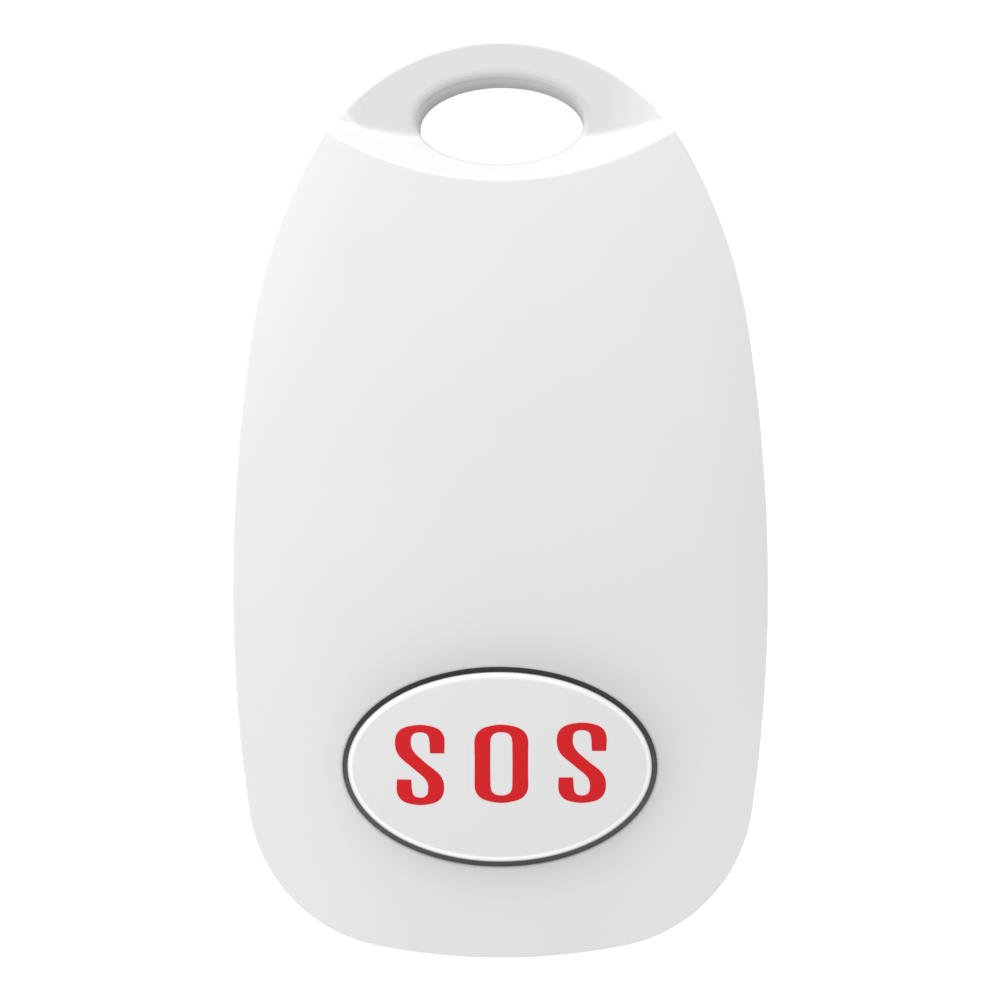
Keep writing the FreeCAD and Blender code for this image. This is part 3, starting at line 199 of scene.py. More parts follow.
# %% A material that is easy to write
class Finish(Graph):
    """A material with one Principled shader. constants are socket names and values."""

    def __init__(self, name, **constants):
        self.material = bpy.data.materials.new(name)
        self.material.use_nodes = True
        super().__init__(self.material.node_tree)
        self.shader = self.tree.nodes["Principled BSDF"]
        self.paint(**constants)
        self.place = self.add("TexCoord", output="Object")

    def noise(self, size, detail=2.0, stretch=(1, 1, 1)):
        """Soft random values from 0 to 1, with lumps of about size metres."""
        scale = tuple(s / size for s in stretch)
        place = self.add("Mapping", inputs={"Vector": self.place, "Scale": scale})
        return self.add("TexNoise", inputs={"Vector": place, "Scale": 1.0, "Detail": detail})

    def mix(self, factor, first, second):
        """A colour between two colours."""
        values = {0: factor, 6: first, 7: second}
        return self.add("Mix", {"data_type": "RGBA"}, values, output=2)

    def bump(self, height, depth, strength):
        """Normals of a relief: height from 0 to 1 stands for depth metres."""
        return self.add("Bump", inputs={"Height": height, "Distance": depth, "Strength": strength})

    def paint(self, **sockets):
        """Feed some of the shader's sockets, named with _ for each space."""
        for name, value in sockets.items():
            self.feed(self.shader.inputs[name.replace("_", " ")], value)
        return self.material


def rgba(red, green, blue):
    return (red, green, blue, 1.0)


def grey(level):
    return rgba(level, level, level)


def dress(material, *names):
    """Put a material in every slot of some pieces of the frame."""
    for name in names:
        mesh = nodes[name].data
        mesh.materials.clear()
        mesh.materials.append(material)
    print(material.name, "on", ", ".join(names))


# %% [markdown]
# ## Two shapes as formulas
#
# The cap's face is part of a ring surface: an arc across the cap, turned about an axis far behind
# it. The outer edge of the gap round the cap is an ellipse. Both are written with plain arithmetic,
# so the same function works on numpy arrays, where it lays the letters on the face, and on shader
# sockets, where it tells a finish how far a point is from the face or from the gap.

# %% The cap's face and the gap round it
CROWN_CROSS = 50.037 * MM
CROWN_LONG = 120.226 * MM
CROWN_Y = -1 * MM
CROWN_TOP = 12 * MM
CAP_RISE = 0.6 * MM
GAP_ACROSS = 10.24 * MM
GAP_ALONG = 6.53 * MM

low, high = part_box("push_cap")
cap_middle = (low + high) / 2
print("cap middle in mm:", [round(c / MM, 2) for c in cap_middle])


def cap_face(x, y):
    """Height of the face: the arc across gives a radius, and that radius turns about the axis."""
    radius = CROWN_LONG - CROWN_CROSS + ((CROWN_CROSS + CAP_RISE) ** 2 - x * x) ** 0.5
    reach = y - CROWN_Y
    return CROWN_TOP - CROWN_LONG + (radius * radius - reach * reach) ** 0.5


def ellipse_distance(x, y, half_across, half_along):
    """Distance outwards from an ellipse: how far the ellipse's own formula is from 1, over how
    fast it grows there."""
    across = x / half_across
    along = y / half_along
    size = (across * across + along * along) ** 0.5
    steep_x = across / half_across
    steep_y = along / half_along
    return (size - 1) * size / (steep_x * steep_x + steep_y * steep_y) ** 0.5


def gap_distance(x, y):
    """Distance outwards from the outer edge of the gap round the cap."""
    return ellipse_distance(x, y - cap_middle.y, GAP_ACROSS, GAP_ALONG)


# %% [markdown]
# ## White moulded plastic
#
# Both covers are moulded in white plastic from a tool with a fine spark-eroded face. Close up that
# is a field of tiny pits, which makes the gloss soft. A broad, barely visible drift in colour and
# gloss comes from how the plastic flowed. The pits are a bump from fine noise, and the drift comes
# from noise with lumps of several millimetres.

# %% Plastic for the covers and the cap
FLOW_SIZE = 9 * MM
FLOW_TINT = 0.965


def moulded_plastic(name, colour, rough, pit_size, pit_depth, **constants):
    """White plastic: fine pits in the surface, a slow drift in tint and gloss."""
    finish = Finish(name, IOR=1.5, **constants)
    flow = finish.noise(FLOW_SIZE, detail=3.0)
    pits = finish.noise(pit_size)
    deep = tuple(FLOW_TINT * c for c in colour)
    finish.tint = finish.mix(flow, rgba(*deep), rgba(*colour))
    finish.paint(
        Base_Color=finish.tint,
        Roughness=rough + 0.06 * flow + 0.05 * pits,
        Normal=finish.bump(pits, pit_depth, 0.5),
    )
    return finish


# %% [markdown]
# Painted light and shade lie on the white cover as soft tints. Each one is a mask over the same
# plastic: a formula of the place of a point, or of the way its face looks, that `above` turns into an
# area with soft edges.
#
# A painted shade darkens the cover round the button and stands for the shadow of the raised cap. It
# is strongest at the gap, dies away within a few millimetres as an exponential of the distance, and
# is heavier above and to the right. The two sides are lighter.

# %% The painted shade round the button
SHADE_REACH = 1.8 * MM
SHADE_LEVEL = 0.98
LEAN_ACROSS = 60 * MM
LEAN_ALONG = 24 * MM
LIGHTER_SIDES = 0.3
SEAT_RIM = 8.5 * MM

cover = moulded_plastic(
    "cover_white",
    (0.87, 0.87, 0.87),
    rough=0.3,
    pit_size=0.16 * MM,
    pit_depth=0.004 * MM,
)
x, y, z = cover.parts(cover.place)
# A painted shade round the gap, for the cap's shadow on the cover.
nearness = math.e ** (gap_distance(x, y) / -SHADE_REACH)
lean = SHADE_LEVEL + x / LEAN_ACROSS + (y - cap_middle.y) / LEAN_ALONG
lean = lean - LIGHTER_SIDES * (x / GAP_ACROSS) ** 4
painted_shade_round_cap = nearness * lean * z.above(SEAT_RIM, 1 * MM)
print("the shade falls to about a third in", round(SHADE_REACH / MM, 2), "mm")

# %% [markdown]
# A painted shade darkens the eye. Its wall gets darker with depth and its rim darker too, but neither
# of them on the side of the step, and a little less towards the right.

# %% The painted shade in the eye
FLANGE_TOP = 7.2 * MM
EYE_Y = 24.7 * MM
EYE_ACROSS = 5.48 * MM
EYE_ALONG = 2.87 * MM
RIM_FOOT = 6.5 * MM
BELOW_RIM = 0.12
WITH_DEPTH = 0.4
ON_RIM = 0.34
LESS_RIGHT = 0.2

from_eye = ellipse_distance(x, y - EYE_Y, EYE_ACROSS, EYE_ALONG)
along = (y - EYE_Y) / EYE_ALONG
wall = 1 - from_eye.above(0.35 * MM, 0.2 * MM)
rim = 1 - from_eye.above(0.05 * MM, 0.7 * MM)
depth = BELOW_RIM * (1 - z.above(RIM_FOOT, 0.6 * MM)) + WITH_DEPTH * (1 - z / FLANGE_TOP)
# The painted shade in the eye: deeper down the wall, and on the rim.
painted_eye_shade = depth * wall * along.above(-0.8, 0.6) + ON_RIM * rim * along.above(-0.3, 0.8)
painted_eye_shade = painted_eye_shade * (1 - LESS_RIGHT * x / EYE_ACROSS) * z.above(0.0, 0.8 * MM)
print("the eye in mm:", round(2 * EYE_ACROSS / MM, 2), "by", round(2 * EYE_ALONG / MM, 2))

# %% [markdown]
# The flange round the eye is painted a little darker than the crown, as a painted shade below the
# step. Its ends are not darkened and are painted lighter.
# There the root of the step curls up on the real cover, and a painted highlight whitens the place the
# curl takes, up to a parabola.

# %% Painted shade and light on the flange
FLANGE_START = 18 * MM
CURL_START = 8.4 * MM
CURL_Y = 24.13 * MM
CURL_RADIUS = 2.2 * MM

beyond_crown = y.above(FLANGE_START, 1 * MM)
on_flange = (1 - abs(z - FLANGE_TOP).above(0.04 * MM, 0.1 * MM)) * beyond_crown
flange_end = abs(x + 1 * MM).above(8 * MM, 3.5 * MM)
# A painted highlight where the root of the step curls up, for the light on that curl.
past = (abs(x) - CURL_START).work("MAXIMUM", 0.0)
curl_root = CURL_Y + past * past / CURL_RADIUS
curled = (curl_root - y).above(-0.15 * MM, 0.3 * MM) * abs(x).above(CURL_START - 1 * MM, 1 * MM)
print("the root curls up from", round(CURL_START / MM, 2), "mm beside the middle")

# %% [markdown]
# Steep faces get painted light and shade for how light falls on them. The step, the turned-down rim,
# the low end and the left shoulder are painted lighter, and the right side is painted greyer. Texture
# Coordinate's Normal gives the way a face looks in the object's own axes: how far to the right, how
# far towards the eye and how far up.

# %% Painted light and shade on the steep faces, and all painted tints one over the other
right, far, up = cover.parts(cover.add("TexCoord", output="Normal"))
# Masks for painted light and shade, by the way a face looks.
painted_light_on_step = far.above(0.35, 0.2) * beyond_crown
painted_light_turned_down = (1 - up.above(0.6, 0.3)) * (0.6 + x / (45 * MM))
painted_shade_right_side = right.above(0.26, 0.1) * y.above(-16 * MM, 12 * MM)
painted_light_left_shoulder = (far - right).above(0.35, 0.14) * z.above(FLANGE_TOP, 1 * MM)
painted_light_low_end = (abs(right) - far).above(0.34, 0.1) * (0 - far).above(0.1, 0.1)
# The painted tints in order: shade on the flange, light at its ends, shade on the right side, light
# on the left shoulder, the low end, the turned-down rim and the step, a highlight on the curl, and
# the shade in the eye.
SHADES = [
    (on_flange, 0.82),
    (on_flange * flange_end, 0.97),
    (painted_shade_right_side, 0.80),
    (painted_light_left_shoulder, 0.93),
    (painted_light_low_end, 0.885),
    (painted_light_turned_down, 0.95),
    (painted_light_on_step, 0.90),
    (curled * on_flange, 0.98),
    (painted_eye_shade, 0.22),
]
tint = cover.tint
for mask, level in SHADES:
    tint = cover.mix(mask, tint, grey(level))
# Last, the painted shade round the button turns the cover grey near the gap.
cover_white = cover.paint(Base_Color=cover.mix(painted_shade_round_cap, tint, rgba(0.72, 0.72, 0.725)))
dress(cover_white, "front_cover", "rear_cover")

# %% [markdown]
# The cap is the same plastic. Its rounded edge gets a painted highlight: a whiter colour and a little
# painted glow, most on the near side, away from the window, so that it looks whiter than the face all
# round. Below the edge the cap's side gets a painted shade, again most on the near side. The finish
# finds both by their distance from the gap's ellipse.

# %% The cap, with a painted highlight on its edge and a painted shade below it
EDGE_INNER = -0.72 * MM
EDGE_OUTER = -0.52 * MM
EDGE_FADE = 0.08 * MM
EDGE_DEPTH = 0.5 * MM
EDGE_GLOW = 0.2

cap = moulded_plastic(
    "cap_white",
    (0.87, 0.87, 0.875),
    rough=0.26,
    pit_size=0.12 * MM,
    pit_depth=0.003 * MM,
    Emission_Strength=EDGE_GLOW,
)
x, y, z = cap.parts(cap.place)
outwards = gap_distance(x, y)
# The edge mask carries the painted highlight: a whiter colour and a glow.
edge = outwards.above(EDGE_INNER, EDGE_FADE) * (1 - outwards.above(EDGE_OUTER, EDGE_FADE))
edge = edge * (1 - (cap_face(x, y) - z).above(EDGE_DEPTH, 0.4 * MM))
unlit = 0.5 - 0.5 * (y - cap_middle.y) / GAP_ALONG
# A painted shade on the cap's side below the edge, most on the unlit side.
painted_shade_below_edge = outwards.above(EDGE_OUTER + EDGE_FADE, 0.05 * MM)
tint = cap.mix(edge, cap.tint, grey(0.92))
cap_white = cap.paint(
    Base_Color=cap.mix(painted_shade_below_edge * unlit, tint, grey(0.45)),
    Emission_Color=cap.mix(edge * unlit, grey(0), grey(1)),
)
dress(cap_white, "push_cap")

# %% [markdown]
# ## Soft and dark parts
#
# The ring that shows in the gap round the cap is a silicone seal, nearly black and matt, with a dusty
# bloom.
# Its near-black also stands for the shade down in the gap, and a faint painted glow lightens it.
# The gasket between the covers is a rubber of the same kind. The switch, the cell holder
# and the chips are black mouldings that differ in gloss and in how coarse their surface is. The
# capacitors and resistors are ceramic, with such a surface too.


# %% Rubber and black mouldings
def soft_rubber(name, colour, glow=0.0):
    """Matt rubber with a pale bloom in patches. glow is a painted light: a faint glow of the rubber's
    own.
    """
    finish = Finish(name, IOR=1.42, Emission_Color=grey(1), Emission_Strength=glow)
    bloom = finish.noise(1.3 * MM, detail=4.0)
    grain = finish.noise(0.05 * MM)
    dusty = tuple(c + 0.02 for c in colour)
    return finish.paint(
        Base_Color=finish.mix(bloom, rgba(*colour), rgba(*dusty)),
        Roughness=0.62 + 0.2 * bloom,
        Normal=finish.bump(grain, 0.004 * MM, 0.6),
    )


def resin(name, colour, rough, grain):
    """Filled resin or ceramic: speckled colour and a coarse surface with specks of grain's size."""
    finish = Finish(name, IOR=1.55)
    speck = finish.noise(grain, detail=3.0)
    cloud = finish.noise(12 * grain)
    pale = tuple(min(1.0, 1.25 * c + 0.01) for c in colour)
    return finish.paint(
        Base_Color=finish.mix(speck * cloud, rgba(*colour), rgba(*pale)),
        Roughness=rough + 0.15 * speck,
        Normal=finish.bump(speck, 0.006 * MM, 0.5),
    )


# The seal's glow is a painted light that lightens the dark ring in the gap.
seal_rubber = soft_rubber("seal_rubber", (0.08, 0.08, 0.083), glow=0.03)
gasket_rubber = soft_rubber("gasket_rubber", (0.09, 0.09, 0.094))
black_moulding = resin("black_moulding", (0.02, 0.02, 0.022), rough=0.42, grain=0.2 * MM)
holder_moulding = resin("holder_moulding", (0.025, 0.025, 0.027), rough=0.5, grain=0.35 * MM)
plunger_moulding = resin("plunger_moulding", (0.04, 0.04, 0.043), rough=0.35, grain=0.15 * MM)
chip_resin = resin("chip_resin", (0.018, 0.018, 0.02), rough=0.45, grain=0.08 * MM)
fired_ceramic = resin("fired_ceramic", (0.36, 0.25, 0.15), rough=0.55, grain=0.12 * MM)
glazed_ceramic = resin("glazed_ceramic", (0.02, 0.022, 0.03), rough=0.25, grain=0.15 * MM)
dress(seal_rubber, "button_seal")
dress(gasket_rubber, "housing_gasket")
dress(black_moulding, "switch_base")
dress(holder_moulding, "battery_holder")
dress(plunger_moulding, "switch_plunger")
dress(chip_resin, "radio_chip", "control_chip")
dress(fired_ceramic, "chip_capacitors")
dress(glazed_ceramic, "chip_resistors")

# %% [markdown]
# ## Metals
#
# Each metal inside has its own making. Rolled strip has fine lines along its length, plated screws
# have a grainy zinc skin, and the cell's can is drawn and then brushed. All are one recipe: a
# stretched noise gives the lines, which change the gloss and dent the surface.

# %% Metal with a rolled or plated surface
ALONG_X = (0.06, 1, 1)
ALONG_Y = (1, 0.06, 1)
EVEN = (1, 1, 1)


def metal(name, colour, stretch, rough, lines, depth):
    """Bare or plated metal: lines this far apart and this deep change its gloss and relief."""
    finish = Finish(name, Metallic=1.0)
    grain = finish.noise(lines, detail=3.0, stretch=stretch)
    stain = finish.noise(2.5 * MM, detail=3.0)
    dull = tuple(0.82 * c for c in colour)
    return finish.paint(
        Base_Color=finish.mix(stain, rgba(*dull), rgba(*colour)),
        Roughness=rough + 0.12 * grain + 0.08 * stain,
        Normal=finish.bump(grain, depth, 0.5),
    )


# %% The metal pieces
ZINC = (0.60, 0.62, 0.66)
STEEL = (0.62, 0.62, 0.63)
NICKEL = (0.66, 0.64, 0.60)
TIN = (0.74, 0.74, 0.75)
GOLD = (0.86, 0.66, 0.32)

zinc_plate = metal("zinc_plate", ZINC, EVEN, rough=0.28, lines=0.12 * MM, depth=0.004 * MM)
stamped_steel = metal("stamped_steel", STEEL, ALONG_X, rough=0.2, lines=0.06 * MM, depth=0.002 * MM)
sprung_steel = metal("sprung_steel", STEEL, ALONG_Y, rough=0.16, lines=0.05 * MM, depth=0.001 * MM)
drawn_nickel = metal("drawn_nickel", NICKEL, ALONG_Y, rough=0.22, lines=0.08 * MM, depth=0.002 * MM)
tin_plate = metal("tin_plate", TIN, EVEN, rough=0.3, lines=0.05 * MM, depth=0.003 * MM)
can_nickel = metal("crystal_nickel", NICKEL, ALONG_X, rough=0.3, lines=0.1 * MM, depth=0.002 * MM)
gold_flash = metal("gold_flash", GOLD, ALONG_X, rough=0.2, lines=0.06 * MM, depth=0.002 * MM)
dress(zinc_plate, "cover_screws")
dress(stamped_steel, "switch_frame")
dress(drawn_nickel, "coin_cell")
dress(tin_plate, "switch_terminals", "control_leads")
dress(can_nickel, "crystal_can")
dress(gold_flash, "battery_clip", "battery_spring", "antenna_strip")

# %% [markdown]
# ## The circuit board
#
# Glass laminate under green solder mask. Copper tracks show through the mask as paler, slightly
# raised lines. They run in lanes, lengthwise and crosswise: the place is folded at every lane, which
# gives the distance from the nearest one, and each lane is cut into stretches. A random value for
# each stretch says whether there is a track on it, with a round pad at both ends.

# %% Tracks in lanes
TRACK_WIDTH = 0.2 * MM
PAD_WIDTH = 0.55 * MM
TRACK_EDGE = 0.03 * MM
BARE_SHARE = 0.6


def tracks(finish, across, along, pitch, length):
    """1 on tracks that run along, in lanes a pitch apart and stretches of one length."""
    lane = (across / pitch).work("ROUND")
    stretch = (along / length).work("FLOOR")
    here = finish.add("CombineXYZ", inputs={"X": lane, "Y": stretch, "Z": pitch / length})
    pick = finish.add("TexWhiteNoise", inputs={"Vector": here})
    from_lane = across.work("PINGPONG", pitch / 2)
    from_end = along.work("PINGPONG", length / 2)
    from_pad = (from_lane * from_lane + from_end * from_end) ** 0.5
    line = 1 - from_lane.above(TRACK_WIDTH / 2, TRACK_EDGE)
    pad = 1 - from_pad.above(PAD_WIDTH / 2, TRACK_EDGE)
    return line.work("MAXIMUM", pad) * pick.above(BARE_SHARE, 0.01)


# %% Solder mask over copper
board = Finish("solder_mask", IOR=1.5, Coat_Weight=0.3, Coat_Roughness=0.15)
x, y = board.parts(board.place)[:2]
lengthwise = tracks(board, x, y, pitch=0.8 * MM, length=4.6 * MM)
crosswise = tracks(board, y, x, pitch=1.15 * MM, length=5.6 * MM)
copper = lengthwise.work("MAXIMUM", crosswise)
weave = board.noise(0.5 * MM)
bare = board.mix(weave, rgba(0.006, 0.055, 0.022), rgba(0.008, 0.07, 0.028))
solder_mask = board.paint(
    Base_Color=board.mix(copper, bare, rgba(0.02, 0.17, 0.065)),
    Roughness=0.3 + 0.1 * weave,
    Normal=board.bump(copper, 0.03 * MM, 0.8),
)
dress(solder_mask, "circuit_board")

# %% [markdown]
# ## Surfaces as arrays
#
# New pieces are surfaces: a grid of points worked out with numpy and joined into quads. `surface`
# takes the points as rows and columns, and can join the last row or column to the first.


# %% A mesh from a grid of points
def surface(name, points, loop_rows=False, loop_columns=False, caps=False):
    """A mesh from an array of shape (rows, columns, 3). caps closes the first and last row."""
    rows, columns = points.shape[:2]
    index = np.arange(rows * columns).reshape(rows, columns)
    if loop_rows:
        index = np.vstack([index, index[:1]])
    if loop_columns:
        index = np.hstack([index, index[:, :1]])
    corners = [index[:-1, :-1], index[:-1, 1:], index[1:, 1:], index[1:, :-1]]
    quads = np.stack([corner.ravel() for corner in corners], axis=1)
    faces = quads.tolist()
    if caps:
        faces += [list(range(columns))[::-1], list(range((rows - 1) * columns, rows * columns))]
    mesh = bpy.data.meshes.new(name)
    mesh.from_pydata(points.reshape(-1, 3).tolist(), [], faces)
    mesh.validate()
    mesh.shade_smooth()
    piece = bpy.data.objects.new(name, mesh)
    bpy.context.scene.collection.objects.link(piece)
    return piece


# %% [markdown]
# ## The letters on the cap
#
# The cap carries the distress call in red: three plain condensed letters, thick in their upright
# strokes and thin where they turn. They are pad printed, so they lie on the curved face as a skin of
# ink with a soft edge. Each letter is one stroke: a strip whose width depends on the direction it
# runs in, as with a broad pen, carried along the letter's middle line and laid on the face.
#
# The middle lines are made of arches that are squarer than a half ellipse, straight stems and, in
# the first and third letter, a diagonal that leaves one stem and enters the other in a soft bend.

# %% Runs of the middle lines
SQUARENESS = 2.08
SLANT_EASE = 0.42
SLANT_LATE = 0.88


def even_steps(count):
    """Some numbers from 0 to 1, all the same distance apart."""
    return np.linspace(0, 1, count)


def fuller(wave, power):
    """A sine or cosine raised to a power, with its sign kept. A power under one fills it out."""
    return np.sign(wave) * np.abs(wave) ** power


def arch(count, side, rise):
    """An arch from x = side to x = -side: cosine and sine raised to a power under one, which
    pushes the corners of a half ellipse outwards."""
    angle = math.pi * even_steps(count)
    power = 2 / SQUARENESS
    x = side * fuller(np.cos(angle), power)
    y = rise * fuller(np.sin(angle), power)
    return np.stack([x, y], axis=1)


def stem(count, x, start, end):
    """A straight upright run."""
    return np.stack([np.full(count, x), start + (end - start) * even_steps(count)], axis=1)


def slant(count, left, right, top, bottom):
    """The diagonal: it goes down steadily, and sideways at a speed that rises and falls evenly.
    A power under one on what is left to go makes it a little late."""
    share = even_steps(count)
    ramp = np.minimum(1, np.minimum(share, 1 - share) / SLANT_EASE)
    speed = ramp**2 * (3 - 2 * ramp)
    passed = np.minimum(1, np.cumsum(speed) / speed.sum())
    passed = 1 - (1 - passed) ** SLANT_LATE
    return np.stack([left + (right - left) * passed, top + (bottom - top) * share], axis=1)


# %% The middle lines of the letters
STEM_STEPS = 8
CURL_STEPS = 40
SLANT_STEPS = 48
RING_STEPS = 48


def curl_line(side, lower_side, half_height, bend, upper_end, lower_end):
    """Middle line of a double-curved letter, from its upper terminal to its lower one."""
    knee = half_height - bend
    start = stem(STEM_STEPS, side, upper_end, knee)[:-1]
    top = arch(CURL_STEPS, side, bend) + [0, knee]
    middle = slant(SLANT_STEPS, -side, lower_side, knee, -knee)
    bottom = (arch(CURL_STEPS, lower_side, -bend) - [0, knee])[1:]
    end = stem(STEM_STEPS, -lower_side, -knee, lower_end)[1:]
    return np.vstack([start, top[:-1], middle, bottom, end])


def ring_line(side, half_height, bend):
    """Closed middle line of an oblong letter: two arches joined by straight stems."""
    top = arch(RING_STEPS, side, bend) + [0, half_height - bend]
    return np.vstack([top, -top])


curl = curl_line(
    side=1.11 * MM,
    lower_side=1.04 * MM,
    half_height=2.375 * MM,
    bend=0.87 * MM,
    upper_end=0.77 * MM,
    lower_end=-0.95 * MM,
)
oblong = ring_line(side=1.225 * MM, half_height=2.305 * MM, bend=0.93 * MM)
print("points on the middle lines:", len(curl), "and", len(oblong))

# %% [markdown]
# Each stroke has the full stem width where it runs upright, a little less where it slants, and is
# thin where it is level. Its free ends are a tenth narrower. The ink's section is a flat lens: full
# thickness over most of the width, rounded down at both edges, with its underside a little inside
# the cap so that no light leaks under it.

# %% Ink strokes
STEM = 1.04 * MM
BAR = 0.5 * MM
SLANT_THINNING = 1.6
END_TAPER = 0.1
TAPER_POWER = 8
INK = 0.02 * MM
SINK = 0.03 * MM


def pen_width(run):
    """BAR where the stroke runs level, STEM where it is upright, and an even blend between, raised
    to a power over one, which thins the slants."""
    upright = np.abs(run[:, 1])
    blend = (upright**2 * (3 - 2 * upright)) ** SLANT_THINNING
    return BAR + (STEM - BAR) * blend


def ink_section(count):
    """The ink's section as two rows: how far across, from -1 to 1, and how far up. They are a
    filled-out cosine and sine, INK high above the face and SINK deep below it."""
    turn = np.linspace(0, 2 * math.pi, count, endpoint=False)
    lift = np.where(np.sin(turn) > 0, INK, -SINK) * np.abs(np.sin(turn)) ** 0.4
    return fuller(np.cos(turn), 0.6), lift


def ink_stroke(name, line, middle, closed):
    """Carry the ink's section along a middle line, square to its run, and lay it on the cap's
    face by adding the height of the face at every point."""
    ahead = np.roll(line, -1, axis=0)
    behind = np.roll(line, 1, axis=0)
    if not closed:
        ahead[-1], behind[0] = line[-1], line[0]
    run = ahead - behind
    run = run / np.linalg.norm(run, axis=1, keepdims=True)
    side = np.stack([-run[:, 1], run[:, 0]], axis=1)
    width = pen_width(run)
    if not closed:
        width = width * (1 - END_TAPER * np.linspace(-1, 1, len(line)) ** TAPER_POWER)
    across, lift = ink_section(count=16)
    reach = across[None, :, None] * width[:, None, None] / 2
    flat = line[:, None, :] + side[:, None, :] * reach
    x = middle[0] + flat[..., 0]
    y = middle[1] + flat[..., 1]
    points = np.stack([x, y, cap_face(x, y) + lift[None, :]], axis=2)
    return surface(name, points, loop_rows=closed, loop_columns=True, caps=not closed)


# %% Print the letters
LETTERS = [
    ("letter_first", curl, -5.135 * MM, 0.16 * MM, False),
    ("letter_middle", oblong, 0.135 * MM, 0.26 * MM, True),
    ("letter_last", curl, 5.345 * MM, 0.315 * MM, False),
]

red = Finish("red_ink", IOR=1.48, Specular_IOR_Level=0.3)
speckle = red.noise(0.12 * MM, detail=3.0)
red_ink = red.paint(
    Base_Color=red.mix(speckle, rgba(0.68, 0.005, 0.010), rgba(0.73, 0.008, 0.014)),
    Roughness=0.34 + 0.12 * speckle,
    Normal=red.bump(speckle, 0.003 * MM, 0.5),
)
for name, line, across, along, closed in LETTERS:
    middle = (cap_middle.x + across, cap_middle.y + along)
    letter = ink_stroke(name, line, middle, closed)
    letter.data.materials.append(red_ink)
    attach(letter, "button")
    print(name, "with", len(letter.data.polygons), "faces")

# %% [markdown]
# ## The snap dome
#
# Under the plunger lies a sprung steel dome that gives the button its click: it goes flat when it
# is pressed. The frame's dome is rigid, so a piece of the same size stands for it. It is a bowl of
# sheet steel turned about the button's middle: an outer arc, a narrow rim and an inner arc, with a
# shallow dimple pressed into the top.

# %% A dome of sheet steel
DOME_SHEET = 0.1 * MM
DIMPLE_RADIUS = 0.5 * MM
DIMPLE_DEPTH = 0.05 * MM
POLE = 0.01 * MM
DOME_ROWS = 40
DOME_COLUMNS = 96


def dome_profile(radius, base, top):
    """Outer arc from the middle to the rim and inner arc back, as rows of radius and height. The
    arc is part of a circle, less a bell curve for the dimple."""
    rise = top - base
    sphere = (radius**2 + rise**2) / (2 * rise)
    outer = POLE + (radius - POLE) * even_steps(DOME_ROWS)
    dimple = DIMPLE_DEPTH * np.exp(-((outer / DIMPLE_RADIUS) ** 2) * 3)
    outer_height = base + np.sqrt(sphere**2 - outer**2) - (sphere - rise) - dimple
    inner_height = np.maximum(outer_height - DOME_SHEET, base)
    rim = np.array([[radius, base]])
    outside = np.stack([outer, outer_height], axis=1)
    inside = np.stack([outer, inner_height], axis=1)[::-1]
    return np.vstack([outside[:-1], rim, inside[1:]])


def turned(name, profile, middle):
    """Turn a profile clockwise about an upright axis, which makes the faces look outwards, and
    close the small ring left at each pole."""
    turn = np.linspace(2 * math.pi, 0, DOME_COLUMNS, endpoint=False)
    x = middle.x + profile[:, None, 0] * np.cos(turn)
    y = middle.y + profile[:, None, 0] * np.sin(turn)
    z = np.broadcast_to(profile[:, None, 1], x.shape)
    return surface(name, np.stack([x, y, z], axis=2), loop_columns=True, caps=True)


low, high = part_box("switch_dome")
profile = dome_profile((high.x - low.x) / 2, low.z, high.z)
snap_dome = turned("snap_dome", profile, (low + high) / 2)
snap_dome.data.materials.append(sprung_steel)
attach(snap_dome, "housing")
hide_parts("switch_dome")
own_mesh(snap_dome)
print("snap dome with", len(snap_dome.data.polygons), "faces, base at", round(low.z / MM, 2), "mm")

# %% [markdown]
# ## The studio
#
# The photograph has a clean white ground and very soft light: even from above, a little stronger
# from low round about, as between white screens, and with broad windows behind the eye and at the
# left. The world gives the first two, and two very wide lamps the windows. The floor and the world
# look white to the camera and in reflections, while the light on the button stays at a plain level.
#
# The floor is paper a hair below the object. Light meets it as paper, and the camera sees an even
# glow with a faint shadow on it.

# %% The floor
FLOOR_SIZE = 4.0
FLOOR_HEIGHT = -0.02 * MM
PAPER_GLOW = 0.96

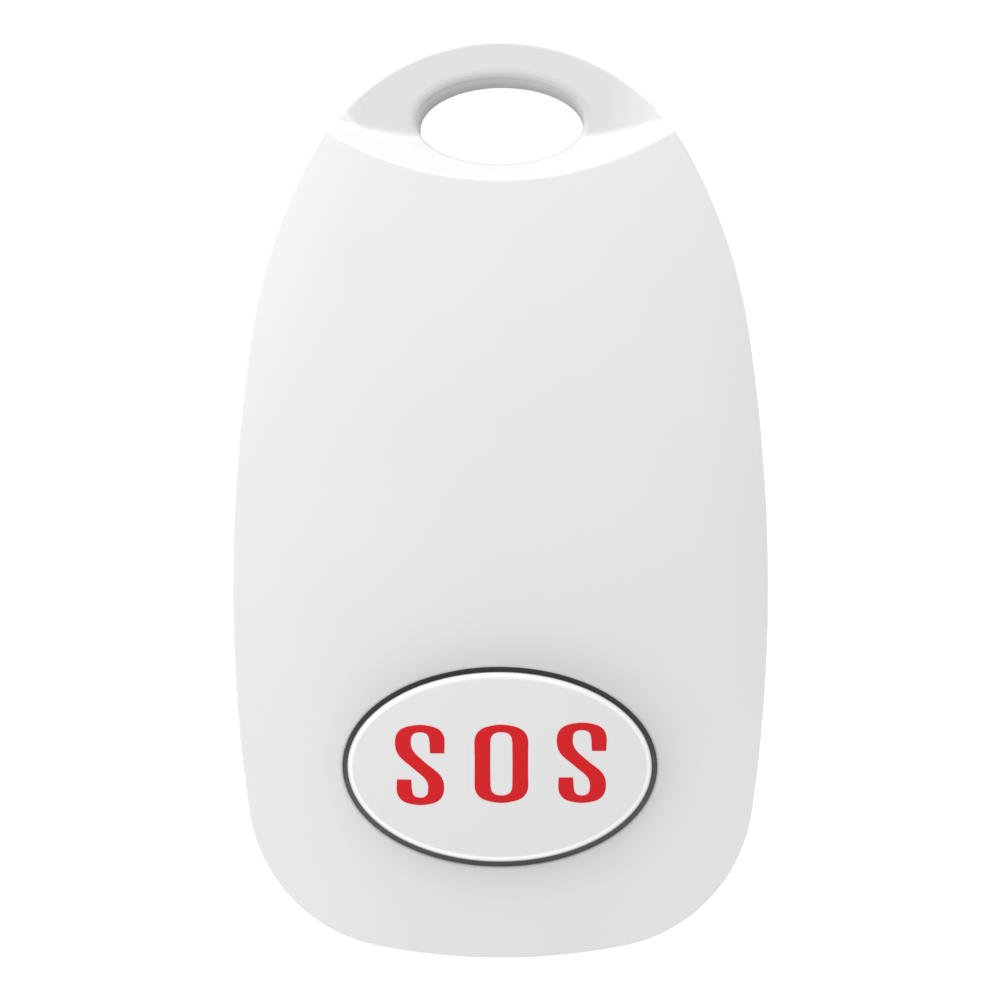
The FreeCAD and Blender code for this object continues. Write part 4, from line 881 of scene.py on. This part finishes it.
half = FLOOR_SIZE / 2
near_row = [[-half, -half, FLOOR_HEIGHT], [half, -half, FLOOR_HEIGHT]]
far_row = [[-half, half, FLOOR_HEIGHT], [half, half, FLOOR_HEIGHT]]
floor = surface("floor", np.array([near_row, far_row]))
paper = Finish("floor_paper")
fibres = paper.noise(0.8 * MM, detail=3.0)
matt = paper.add("BsdfDiffuse", inputs={"Color": paper.mix(fibres, grey(0.58), grey(0.64))})
faint = paper.add("BsdfDiffuse", inputs={"Color": grey(0.2)})
glow = paper.add("Emission", inputs={"Color": grey(1), "Strength": PAPER_GLOW})
lit = paper.add("AddShader", inputs={0: faint, 1: glow})
shown = paper.add("MixShader", inputs={0: paper.seen(), 1: matt, 2: lit})
paper.feed(paper.tree.nodes["Material Output"].inputs["Surface"], shown)
floor.data.materials.append(paper.material)
print("floor in metres:", FLOOR_SIZE)

# %% The world
EVEN_LIGHT = 0.6
LOW_LIGHT = 1.0

world = bpy.data.worlds.new("studio")
bpy.context.scene.world = world
world.use_nodes = True
studio = Graph(world.node_tree)
up = studio.parts(studio.add("TexCoord", output="Generated"))[2]
screens = EVEN_LIGHT + LOW_LIGHT * (1 - abs(up)) ** 3
seen = studio.seen()
background = world.node_tree.nodes["Background"].inputs
studio.feed(background["Color"], grey(1))
studio.feed(background["Strength"], seen + (1 - seen) * screens)
print("light from", EVEN_LIGHT, "overhead to", EVEN_LIGHT + LOW_LIGHT, "at the horizon")

# %% The windows
WINDOW_HEIGHT = math.radians(30)
WINDOW_WIDTH = math.radians(60)
WINDOWS = [("far_window", 0, 0.874), ("left_window", 285, 0.50)]

for name, azimuth, energy in WINDOWS:
    lamp = bpy.data.lights.new(name, "SUN")
    lamp.energy = energy
    lamp.angle = WINDOW_WIDTH
    window = bpy.data.objects.new(name, lamp)
    window.rotation_euler = (math.pi / 2 - WINDOW_HEIGHT, 0, math.radians(180 - azimuth))
    bpy.context.scene.collection.objects.link(window)
    print(name, "at", azimuth, "degrees from +Y towards +X")

bpy.context.scene.view_settings.view_transform = "Standard"
